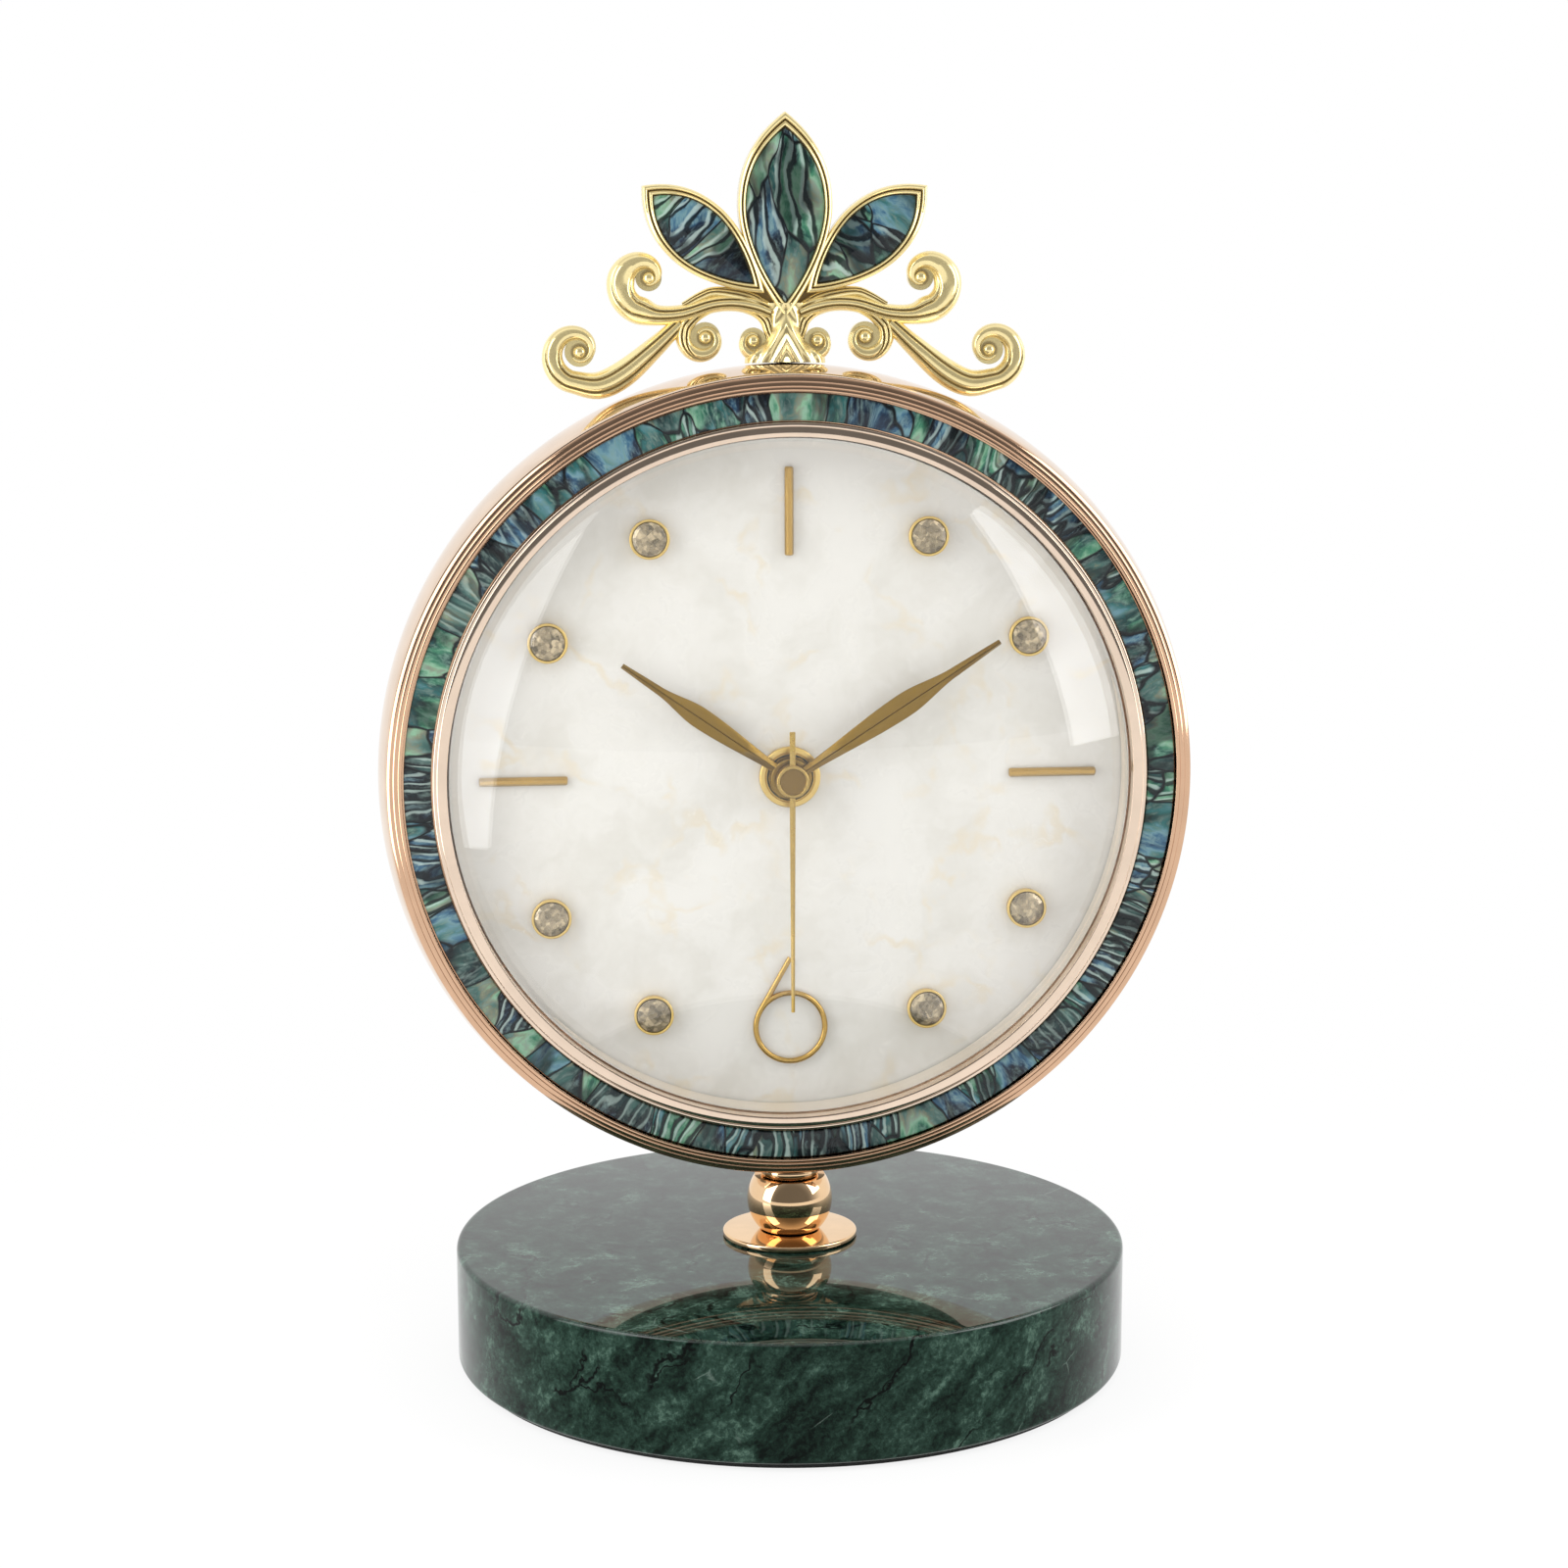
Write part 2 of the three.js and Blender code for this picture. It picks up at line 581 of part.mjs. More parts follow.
function addCase() {
  const body = turned([
    ...drumOutline(0),
    [coverPocket, drumBack],
    [coverPocket, coverSeat],
    [drumInner, coverSeat],
    [drumInner, shelfBack],
    [dialRadius - SHELF_WIDTH, shelfBack],
    [dialRadius - SHELF_WIDTH, shelfFront],
    [dialBore, shelfFront],
    [dialBore, bezelPlateBack + FIT_GAP],
    [bezelPlateRadius + FIT_GAP, bezelPlateBack + FIT_GAP],
    [bezelPlateRadius + FIT_GAP, drumFront],
  ]);
  const places = coverScrewPlaces();
  const bosses = places.map(([x, z]) => (
    disc(BOSS_RADIUS, shelfBack - SHELF_THICKNESS / 2, coverSeat).translate(x, 0, z)
  ));
  const pilot = COVER_SCREW_RADIUS + SCREW_GAP;
  const screwEnd = coverBack - COVER_SCREW_LENGTH;
  const holes = places.map(([x, z]) => disc(pilot, screwEnd - SCREW_GAP, drumBack).translate(x, 0, z));
  const boltTip = -drumRadius + BOLT_GRIP + SCREW_GAP;
  const below = -2 * drumRadius;
  const stemHole = turnedUp([[0, below], [boltHole, below], [boltHole, boltTip], [0, boltTip]], SHAFT_SIDES);
  const screwHole = CROWN_SCREW_RADIUS + SCREW_GAP;
  const crownHole = turnedUp([
    [0, drumInner - BOSS_INSET],
    [screwHole, drumInner - BOSS_INSET],
    [screwHole, 2 * drumRadius],
    [0, 2 * drumRadius],
  ], SHAFT_SIDES).translate(0, CROWN_SCREW_AT, 0);
  mesh(caseGroup, 'case_drum', cut(join(body, ...bosses), ...holes, stemHole, crownHole), ROSE_GOLD);

  const bead = RIM_WIDTH / 2;
  mesh(caseGroup, 'front_bezel', turned([
    [rimInner, channelFloor],
    [rimInner, rimFront + bead / 4],
    [rimInner + bead / 4, rimFront],
    [rimInner + 3 * bead / 4, rimFront],
    [rimInner + bead, rimFront + RIM_GROOVE],
    [rimOuter - 3 * bead / 4, rimFront + RIM_GROOVE / 2],
    [rimOuter - bead / 4, rimFront + RIM_GROOVE],
    [rimOuter, rimFront + 2 * RIM_GROOVE],
    [rimOuter, drumFront - FIT_GAP],
    [bezelPlateRadius, drumFront - FIT_GAP],
    [bezelPlateRadius, bezelPlateBack],
    [dialBore - 2 * FIT_GAP, bezelPlateBack],
    [dialBore - 2 * FIT_GAP, bezelBack],
    [VIEW_RADIUS, bezelBack],
    [VIEW_RADIUS, crystalSeat],
    [crystalPocket, crystalSeat],
    [crystalPocket, channelFloor],
  ]), ROSE_GOLD);

  const shellBack = channelFloor - FIT_GAP;
  const shell = tube(shellInner, shellOuter, shellBack - SHELL_THICKNESS, shellBack, RING_SIDES);
  mesh(caseGroup, 'shell_ring', shell, ABALONE);

  const ringFront = rimFront - CRYSTAL_RING_PROUD;
  const ringBack = channelFloor - FIT_GAP;
  const round = CRYSTAL_RING_WIDTH / 4;
  mesh(caseGroup, 'crystal_ring', turned([
    [crystalRingInner, ringBack],
    [crystalRingInner, ringFront + round],
    [crystalRingInner + round, ringFront],
    [crystalRingOuter - round, ringFront],
    [crystalRingOuter, ringFront + round],
    [crystalRingOuter, ringBack],
  ]), ROSE_GOLD);

  const domeEdge = crystalRingInner - FIT_GAP;
  const sphere = (domeEdge ** 2 + CRYSTAL_RISE ** 2) / (2 * CRYSTAL_RISE);
  const apex = channelFloor - CRYSTAL_RISE;
  const domeAt = (r, radius) => apex + sphere - Math.sqrt(radius ** 2 - r ** 2);
  const outside = [];
  const inside = [];
  const hollowEdge = domeEdge - CRYSTAL_THICKNESS / 2;
  for (let i = 0; i <= CRYSTAL_STEPS; i += 1) {
    const share = i / CRYSTAL_STEPS;
    outside.push([domeEdge * share, domeAt(domeEdge * share, sphere)]);
    inside.unshift([hollowEdge * share, domeAt(hollowEdge * share, sphere - CRYSTAL_THICKNESS)]);
  }
  const rimBack = channelFloor + CRYSTAL_THICKNESS;
  mesh(caseGroup, 'crystal', turned([
    ...outside,
    [crystalRadius, channelFloor],
    [crystalRadius, rimBack],
    ...inside,
  ]), GLASS);

  mesh(caseGroup, 'dial_plate', tube(bushHole, dialRadius, dialFront, dialBack, RING_SIDES), PEARL);

  const shape = new THREE.Shape().absarc(0, 0, coverRadius, 0, 2 * Math.PI);
  const [left, right] = [-housingHalf - WINDOW_GAP, housingHalf + WINDOW_GAP];
  const [low, high] = [housingBottom - WINDOW_GAP, housingTop + WINDOW_GAP];
  const window = new THREE.Path().moveTo(left, low).lineTo(left, high).lineTo(right, high).lineTo(right, low);
  shape.holes.push(window);
  places.forEach(([x, z]) => shape.holes.push(new THREE.Path().absarc(x, z, pilot, 0, 2 * Math.PI, true)));
  mesh(caseGroup, 'rear_cover', plate(shape, coverFront, coverBack, RING_SIDES / 4), BLACK_METAL);

  const headFront = coverBack + SEAT_GAP;
  places.forEach(([x, z], i) => {
    const screw = turned([
      [0, headFront - COVER_SCREW_LENGTH],
      [COVER_SCREW_RADIUS, headFront - COVER_SCREW_LENGTH],
      [COVER_SCREW_RADIUS, headFront],
      [SCREW_HEAD_RADIUS, headFront],
      [SCREW_HEAD_RADIUS, headFront + SCREW_HEAD_HEIGHT],
      [0, headFront + SCREW_HEAD_HEIGHT],
    ], SMALL_SIDES);
    mesh(caseGroup, `rear_cover_screw_${i + 1}`, screw.translate(x, 0, z), STEEL);
  });
}

function addDialTrim() {
  const back = dialFront - SEAT_GAP;
  const far = VIEW_RADIUS - BAR_MARGIN;
  const near = far - BAR_LENGTH;
  BAR_HOURS.forEach((hour) => {
    const bar = block(-BAR_WIDTH / 2, BAR_WIDTH / 2, back - BAR_HEIGHT, back, near, far);
    mesh(caseGroup, `index_bar_${hour}`, bar.rotateY(radians(HOUR_STEP * hour)), SATIN_GOLD);
  });

  // The wire of the six leaves its ring along a tangent on the left
  const wireCircle = SIX_RADIUS - SIX_WIRE / 2;
  const touch = Math.PI / 2 + Math.acos(wireCircle / SIX_TAIL_RISE);
  const tailLength = Math.sqrt(SIX_TAIL_RISE ** 2 - wireCircle ** 2);
  const ring = tube(SIX_RADIUS - SIX_WIRE, SIX_RADIUS, back - SIX_WIRE, back, STEM_SIDES);
  const [tailLeft, tailRight] = [wireCircle - SIX_WIRE / 2, wireCircle + SIX_WIRE / 2];
  const tail = block(tailLeft, tailRight, back - SIX_WIRE, back, -tailLength, 0);
  const six = join(ring, tail.rotateY(-touch)).translate(0, 0, -SIX_CENTRE);
  mesh(caseGroup, 'index_ring_6', six, SATIN_GOLD);

  const inner = STUD_RADIUS - STUD_WALL;
  const stone = inner - STONE_GAP;
  const stoneBack = back - STUD_FLOOR - SEAT_GAP;
  STUD_HOURS.forEach((hour) => {
    const [x, z] = polar(VIEW_RADIUS - STUD_MARGIN, QUARTER_TURN - HOUR_STEP * hour);
    mesh(caseGroup, `stud_cup_${hour}`, turned([
      [0, back],
      [STUD_RADIUS, back],
      [STUD_RADIUS, back - STUD_HEIGHT],
      [inner, back - STUD_HEIGHT],
      [inner, back - STUD_FLOOR],
      [0, back - STUD_FLOOR],
    ], SMALL_SIDES).translate(x, 0, z), SATIN_GOLD);
    mesh(caseGroup, `stud_stone_${hour}`, turned([
      [0, stoneBack],
      [stone, stoneBack],
      [stone, stoneBack - STONE_GIRDLE],
      [stone * STONE_TABLE, stoneBack - STONE_GIRDLE - STONE_CROWN],
      [0, stoneBack - STONE_GIRDLE - STONE_CROWN],
    ], SMALL_SIDES).translate(x, 0, z), STONE);
  });
}

// A lance-shaped blade that points to twelve, from inside its boss to its narrow tip
function bladeShape({ length, width, root, neck, tip, widest, narrows }) {
  const shape = new THREE.Shape();
  const full = width / 2;
  const flank = (side) => [side * root / 2, side * full, side * neck / 2, side * tip / 2];
  const [r0, r1, r2, r3] = flank(1);
  const [l0, l1, l2, l3] = flank(-1);
  const start = (pipeOuter + HOUR_BOSS_RADIUS) / 2;
  const swell = (widest - start) / 2;
  const ease = (narrows - widest) / 2;
  shape.moveTo(r0, start);
  shape.bezierCurveTo(r0, start + swell, r1, widest - swell / 2, r1, widest);
  shape.bezierCurveTo(r1, widest + ease / 2, r2, narrows - ease, r2, narrows);
  shape.lineTo(r3, length);
  shape.lineTo(l3, length);
  shape.lineTo(l2, narrows);
  shape.bezierCurveTo(l2, narrows - ease, l1, widest + ease / 2, l1, widest);
  shape.bezierCurveTo(l1, widest - swell / 2, l0, start + swell, l0, start);
  return shape;
}

function addHands() {
  const hourTurn = radians(HOUR_STEP * SHOWN_HOUR + HOUR_STEP * SHOWN_MINUTE / MINUTES);
  const minuteTurn = radians(MINUTE_STEP * SHOWN_MINUTE);
  const secondTurn = radians(MINUTE_STEP * SHOWN_SECOND);

  const hourBlade = plate(bladeShape(HOUR_HAND), hourFront, hourFront + HAND_THICKNESS);
  const hourBoss = tube(pipeOuter + RUNNING_GAP, HOUR_BOSS_RADIUS, hourFront, hourBack);
  mesh(caseGroup, 'hour_hand', join(hourBlade, hourBoss).rotateY(hourTurn), SATIN_GOLD);

  const minuteShape = bladeShape(MINUTE_HAND);
  const bladeBack = minuteFront + HAND_THICKNESS;
  const bore = tubeOuter + RUNNING_GAP;
  const [linkLow, linkHigh] = [(bore + MINUTE_BOSS_RADIUS) / 2, HOUR_BOSS_RADIUS + RUNNING_GAP];
  const linkHalf = MINUTE_HAND.root / 2;
  const minuteLink = block(-linkHalf, linkHalf, minuteFront, bladeBack, linkLow, linkHigh);
  const minuteBlade = plate(minuteShape, minuteFront, bladeBack);
  const minuteBoss = tube(bore, MINUTE_BOSS_RADIUS, minuteFront, minuteBack);
  mesh(caseGroup, 'minute_hand', join(minuteBlade, minuteLink, minuteBoss).rotateY(minuteTurn), SATIN_GOLD);

  const needle = block(-SECOND_HAND_WIDTH / 2, SECOND_HAND_WIDTH / 2, secondBack - HAND_THICKNESS, secondBack,
    -SECOND_HAND_TAIL, SECOND_HAND_LENGTH);
  const cap = disc(CAP_RADIUS, secondFront, secondBack, STEM_SIDES / 2);
  const socket = disc(SECOND_ARBOR_RADIUS + RUNNING_GAP, secondFront + CAP_ROOF, secondBack + SEAT_GAP);
  mesh(caseGroup, 'second_hand', cut(join(needle, cap), socket).rotateY(secondTurn), SATIN_GOLD);

  const bush = tube(bushInner, BUSH_RADIUS, bushFront, plateBack, STEM_SIDES / 2);
  mesh(caseGroup, 'dial_bush', bush, SATIN_GOLD);
  const nut = tube(bushHole, NUT_RADIUS, nutFront, nutBack, STEM_SIDES / 2);
  mesh(caseGroup, 'dial_nut', nut, SATIN_GOLD);
}

// A toothed disc with one tooth at the phase angle, in degrees
function gear(teeth, module, phase, from, to) {
  const step = 2 * Math.PI / teeth;
  const tip = tipRadius(teeth, module);
  const root = module * (teeth / 2 - DEDENDUM);
  const corners = [[-ROOT_SHARE, root], [-TIP_SHARE, tip], [TIP_SHARE, tip], [ROOT_SHARE, root]];
  const points = [];
  for (let i = 0; i < teeth; i += 1) {
    corners.forEach(([share, radius]) => {
      const angle = radians(phase) + (i + share) * step;
      points.push(new THREE.Vector2(radius * Math.cos(angle), radius * Math.sin(angle)));
    });
  }
  return plate(new THREE.Shape(points), from, to);
}

// A wheel in its own layer
function wheelGear(wheel, teeth, module, phase) {
  return gear(teeth, module, phase, layer(wheel), layerBack(wheel));
}

// A pinion that runs a little past both ends of what it reaches
function pinionGear(teeth, module, phase, from, to) {
  return gear(teeth, module, phase, from - PINION_OVERRUN, to + PINION_OVERRUN);
}

// The phase of a wheel that has a gap where the pinion's tooth comes in along the line of centres
const gapPhase = (teeth, degrees) => degrees + HALF_TURN + HALF_TURN / teeth;

function addMotionWorks() {
  const [x, z] = minuteWheelAt;
  const towards = 0;
  const cannon = pinionGear(CANNON_TEETH, MOTION_MODULE, towards, layer('minute'), layerBack('minute'));
  const arbor = disc(tubeOuter, minuteFront, layerBack('centre') + PINION_OVERRUN);
  const bore = disc(tubeInner, minuteFront - SEAT_GAP, layer('third'));
  mesh(caseGroup, 'minute_arbor', cut(join(arbor, cannon), bore), STEEL);

  const wheelPhase = gapPhase(MINUTE_WHEEL_TEETH, towards);
  const wheel = wheelGear('minute', MINUTE_WHEEL_TEETH, MOTION_MODULE, wheelPhase);
  const away = towards + HALF_TURN;
  const pinion = pinionGear(MINUTE_PINION_TEETH, motionPinionModule, away, layer('hour'), layer('minute'));
  const stemBore = disc(KNOB_STEM_RADIUS + RUNNING_GAP, plateBack, layer('centre'));
  mesh(caseGroup, 'minute_wheel', cut(join(wheel, pinion), stemBore).translate(x, 0, z), WHITE_PLASTIC);

  const hourPhase = gapPhase(HOUR_WHEEL_TEETH, away);
  const hourGear = wheelGear('hour', HOUR_WHEEL_TEETH, motionPinionModule, hourPhase);
  const pipe = disc(pipeOuter, hourFront, layer('hour') + PINION_OVERRUN);
  const pipeBore = disc(pipeInner, hourFront - SEAT_GAP, layer('minute'));
  mesh(caseGroup, 'hour_wheel', cut(join(hourGear, pipe), pipeBore), WHITE_PLASTIC);

  const knobFront = movementBack + KNOB_STANDOFF;
  const knob = turned([
    [0, movementFront + SEAT_GAP],
    [KNOB_STEM_RADIUS, movementFront + SEAT_GAP],
    [KNOB_STEM_RADIUS, knobFront],
    [KNOB_RADIUS, knobFront],
    [KNOB_RADIUS, knobFront + KNOB_HEIGHT],
    [0, knobFront + KNOB_HEIGHT],
  ], SHAFT_SIDES);
  mesh(caseGroup, 'set_knob', knob.translate(x, 0, z), DARK_PLASTIC);
}

function addGoingTrain() {
  const pivotBack = movementBack - SEAT_GAP;
  const towardsCentre = THIRD_WHEEL_AT + HALF_TURN;
  const centrePhase = gapPhase(CENTRE_WHEEL_TEETH, towardsCentre);
  const centreGear = wheelGear('centre', CENTRE_WHEEL_TEETH, TRAIN_MODULE, centrePhase);
  const clutchBore = disc(tubeOuter + RUNNING_GAP, layer('minute'), layer('third'));
  mesh(caseGroup, 'centre_wheel', cut(centreGear, clutchBore), WHITE_PLASTIC);

  const thirdPhase = gapPhase(THIRD_WHEEL_TEETH, THIRD_WHEEL_AT);
  const thirdGear = wheelGear('third', THIRD_WHEEL_TEETH, thirdModule, thirdPhase);
  const thirdPinion = pinionGear(LEAVES, TRAIN_MODULE, towardsCentre, layer('centre'), layer('third'));
  const thirdArbor = disc(SECOND_ARBOR_RADIUS, movementFront + SEAT_GAP, pivotBack);
  const third = join(thirdGear, thirdPinion, thirdArbor);
  mesh(caseGroup, 'third_wheel', third.translate(thirdAt[0], 0, thirdAt[1]), WHITE_PLASTIC);

  const towardsSecond = FIFTH_WHEEL_AT + HALF_TURN;
  const secondPhase = gapPhase(SECOND_WHEEL_TEETH, towardsSecond);
  const secondGear = wheelGear('second', SECOND_WHEEL_TEETH, DRIVE_MODULE, secondPhase);
  const secondPinion = pinionGear(LEAVES, thirdModule, THIRD_WHEEL_AT, layer('third'), layer('second'));
  const secondArbor = disc(SECOND_ARBOR_RADIUS, secondFront + CAP_ROOF + SEAT_GAP, pivotBack);
  mesh(caseGroup, 'second_wheel', join(secondGear, secondPinion, secondArbor), WHITE_PLASTIC);

  const postBore = POST_RADIUS + RUNNING_GAP;
  const towardsFifth = ROTOR_AT + HALF_TURN;
  const fifthPhase = gapPhase(FIFTH_WHEEL_TEETH, towardsFifth);
  const fifthGear = wheelGear('fifth', FIFTH_WHEEL_TEETH, DRIVE_MODULE, fifthPhase);
  const fifthPinion = pinionGear(LEAVES, DRIVE_MODULE, towardsSecond, layer('second'), layer('fifth'));
  const fifthBore = disc(postBore, layer('second') - LAYER_GAP, layerBack('fifth') + LAYER_GAP);
  const fifth = cut(join(fifthGear, fifthPinion), fifthBore);
  mesh(caseGroup, 'fifth_wheel', fifth.translate(fifthAt[0], 0, fifthAt[1]), WHITE_PLASTIC);

  const rotorPinion = pinionGear(LEAVES, DRIVE_MODULE, towardsFifth, layer('fifth'), magnetFront);
  const magnet = disc(MAGNET_RADIUS, magnetFront, magnetBack);
  const rotorBore = disc(postBore, layer('fifth') - LAYER_GAP, magnetBack + LAYER_GAP);
  const rotor = cut(join(rotorPinion, magnet), rotorBore);
  mesh(caseGroup, 'rotor', rotor.translate(rotorAt[0], 0, rotorAt[1]), BLACK_METAL);
}

function addMovementBody() {
  const wall = MOVEMENT_WALL;
  const [w, low, high, c] = [housingHalf, housingBottom, housingTop, MOVEMENT_CORNER];
  const outline = new THREE.Shape();
  outline.absarc(w - c, low + c, c, -Math.PI / 2, 0);
  outline.absarc(w - c, high - c, c, 0, Math.PI / 2);
  outline.absarc(-w + c, high - c, c, Math.PI / 2, Math.PI);
  outline.absarc(-w + c, low + c, c, Math.PI, 3 * Math.PI / 2);
  const pivot = SECOND_ARBOR_RADIUS + RUNNING_GAP;
  const stem = KNOB_STEM_RADIUS + RUNNING_GAP;
  const past = housingBack + LAYER_GAP;
  const before = movementFront - LAYER_GAP;
  const at = (tool, [x, z]) => tool.translate(x, 0, z);
  const inner = w - wall;
  mesh(caseGroup, 'movement_housing', cut(
    plate(outline, movementFront, housingBack, CORNER_STEPS),
    block(-inner, inner, plateBack, past, partitionTop, chamberTop),
    block(-inner, inner, plateBack, past, bayBottom, partitionBottom),
    block(-inner, inner, boardFront - FIT_GAP, past, partitionBottom - wall, partitionTop + wall),
    disc(bushHole, before, plateBack + LAYER_GAP, STEM_SIDES / 2),
    at(disc(pivot, before, past), thirdAt),
    at(disc(stem, before, past), minuteWheelAt),
  ), DARK_PLASTIC);

  const lid = plate(outline, movementCoverFront, movementBack, CORNER_STEPS);
  const bay = block(-2 * w, 2 * w, before, movementBack + wall, low - wall, partitionBottom);
  const post = (wheel, place) => (
    at(disc(POST_RADIUS, layer(wheel), movementCoverFront + MOVEMENT_COVER / 2), place)
  );
  const knobHole = at(disc(stem, before, movementBack + wall), minuteWheelAt);
  const secondPivot = disc(pivot, before, movementBack + wall);
  const thirdPivot = at(disc(pivot, before, movementBack + wall), thirdAt);
  const cover = cut(lid, bay, knobHole, secondPivot, thirdPivot);
  const posts = [post('second', fifthAt), post('fifth', rotorAt)];
  mesh(caseGroup, 'movement_cover', join(cover, ...posts), DARK_PLASTIC);

  const left = -inner + BATTERY_GAP;
  const right = -left;
  const strip = CONTACT_THICKNESS;
  const stripTop = partitionBottom - BATTERY_GAP;
  const stripBottom = batteryHeight - CONTACT_WIDTH / 2;
  const stripFront = batteryDepth - CONTACT_WIDTH / 2;
  const foot = partitionTop + BATTERY_GAP;
  mesh(caseGroup, 'circuit_board', join(
    block(left, -BOARD_INSET, boardFront, boardBack, foot, foot + BOARD_HEIGHT),
    block(left, right, boardFront, boardBack, foot, foot + CONTACT_LAP),
    block(left, left + CONTACT_LAP, boardFront, boardBack, stripTop - strip, foot + CONTACT_LAP),
    block(right - CONTACT_LAP, right, boardFront, boardBack, stripTop - strip, foot + CONTACT_LAP),
    block(left, left + strip, stripFront, boardBack, stripBottom, stripTop),
    block(right - strip, right, stripFront, boardBack, stripBottom, stripTop),
  ), BOARD);

  const half = COIL_LENGTH / 2;
  const core = COIL_RADIUS - COIL_FLANGE;
  const bobbin = turned([
    [0, -half],
    [COIL_RADIUS, -half],
    [COIL_RADIUS, -half + COIL_FLANGE],
    [core, -half + COIL_FLANGE],
    [core, half - COIL_FLANGE],
    [COIL_RADIUS, half - COIL_FLANGE],
    [COIL_RADIUS, half],
    [0, half],
  ], SHAFT_SIDES).rotateZ(-Math.PI / 2).translate(COIL_SHIFT, coilDepth, coilHeight);
  const [rx, rz] = rotorAt;
  const stator = block(rx - STATOR_HALF_WIDTH, rx + STATOR_HALF_WIDTH, coilDepth - STATOR_THICKNESS / 2,
    coilDepth + STATOR_THICKNESS / 2, rz - STATOR_HALF_WIDTH, coilHeight);
  const rotorHole = disc(MAGNET_RADIUS + 2 * RUNNING_GAP, before, past).translate(rx, 0, rz);
  mesh(caseGroup, 'drive_coil', cut(join(bobbin, stator), rotorHole), COPPER);

  const end = BATTERY_LENGTH / 2;
  const cell = turned([
    [0, -end],
    [BATTERY_RADIUS, -end],
    [BATTERY_RADIUS, end - BATTERY_NUB_LENGTH],
    [BATTERY_NUB_RADIUS, end - BATTERY_NUB_LENGTH],
    [BATTERY_NUB_RADIUS, end],
    [0, end],
  ], STEM_SIDES / 2);
  mesh(caseGroup, 'battery', cell.rotateZ(-Math.PI / 2).translate(0, batteryDepth, batteryHeight), CELL);
}

// The plane path of a scroll: its lead-in points, then its spiral
function scrollPath({ lead, eye, from, to, outer, inner, steps }) {
  const points = lead.map(([x, z]) => new THREE.Vector2(x, z));
  const turns = Math.ceil(Math.abs(to - from) / SPIRAL_STEP);
  for (let i = 0; i <= turns; i += 1) {
    const share = i / turns;
    const [x, z] = polar(outer + (inner - outer) * share, from + (to - from) * share);
    points.push(new THREE.Vector2(eye[0] + x, eye[1] + z));
  }
  return new THREE.SplineCurve(points).getSpacedPoints(steps);
}

// A scroll with a flat back and a ridged front, carried along its path and widest in its middle
function scrollGeometry(scroll) {
  const path = scrollPath(scroll);
  const last = path.length - 1;
  const back = CROWN_DEPTH / 2;
  const shoulder = -back * SCROLL_SHOULDER;
  const [low, high] = SCROLL_RIDGE;
  const section = [[-1, back], [1, back], [1, shoulder], [high, -back], [low, -back], [-1, shoulder]];
  const corners = [];
  path.forEach((point, i) => {
    const along = path[Math.min(i + 1, last)].clone().sub(path[Math.max(i - 1, 0)]).normalize();
    const share = 2 * i / last;
    const width = share < 1
      ? THREE.MathUtils.lerp(scroll.start, scroll.middle, share)
      : THREE.MathUtils.lerp(scroll.middle, scroll.end, share - 1);
    section.forEach(([across, y]) => {
      corners.push(point.x - along.y * across * width / 2, y, point.y + along.x * across * width / 2);
    });
  });
  const count = section.length;
  const faces = [];
  for (let i = 0; i < last; i += 1) {
    for (let k = 0; k < count; k += 1) {
      const [a, b] = [i * count + k, i * count + (k + 1) % count];
      faces.push(a, b, a + count, b, b + count, a + count);
    }
  }
  for (let k = 1; k < count - 1; k += 1) {
    faces.push(0, k + 1, k);
    faces.push(last * count, last * count + k, last * count + k + 1);
  }
  const geometry = new THREE.BufferGeometry();
  geometry.setAttribute('position', new THREE.Float32BufferAttribute(corners, 3));
  geometry.setIndex(faces);
  const [eyeX, eyeZ] = scroll.eye;
  const eye = disc(EYE_RADIUS, -back - EYE_PROUD, back, SMALL_SIDES).translate(eyeX, 0, eyeZ);
  return join(geometry, eye);
}

function mirrored(geometry) {
  return closed(geometry.clone().scale(-1, 1, 1));
}

// A leaf from its lower tip at the origin to its upper tip, fullest a little above its middle
function leafShape(length, half, start) {
  const full = start + LEAF_FULLNESS * length;
  const top = start + length;
  const below = full - start;
  const above = top - full;
  const shape = new THREE.Shape().moveTo(0, start);
  shape.bezierCurveTo(half / 2, start + below / 4, half, full - below / 3, half, full);
  shape.bezierCurveTo(half, full + above / 2, half / 2, top - above / 5, 0, top);
  shape.bezierCurveTo(-half / 2, top - above / 5, -half, full + above / 2, -half, full);
  shape.bezierCurveTo(-half, full - below / 3, -half / 2, start + below / 4, 0, start);
  return shape;
}

const leafFront = -LEAF_DEPTH / 2;
const pocketFloor = leafFront + LEAF_POCKET;

function leafPlaced(geometry, { x, z, turn }) {
  return geometry.rotateY(radians(turn)).translate(x, 0, z);
}

function leafSetting(leaf) {
  const outline = plate(leafShape(leaf.length, leaf.half, 0), leafFront, -leafFront);
  const opening = leafShape(leaf.length - 2 * LEAF_TIP_RIM, leaf.half - LEAF_RIM, LEAF_TIP_RIM);
  return leafPlaced(cut(outline, plate(opening, leafFront - LEAF_POCKET, pocketFloor)), leaf);
}

function leafShell(leaf) {
  const tipRim = LEAF_TIP_RIM + 2 * FIT_GAP;
  const shape = leafShape(leaf.length - 2 * tipRim, leaf.half - LEAF_RIM - FIT_GAP, tipRim);
  const back = pocketFloor - FIT_GAP;
  return leafPlaced(plate(shape, back - LEAF_SHELL_THICKNESS, back), leaf);
}

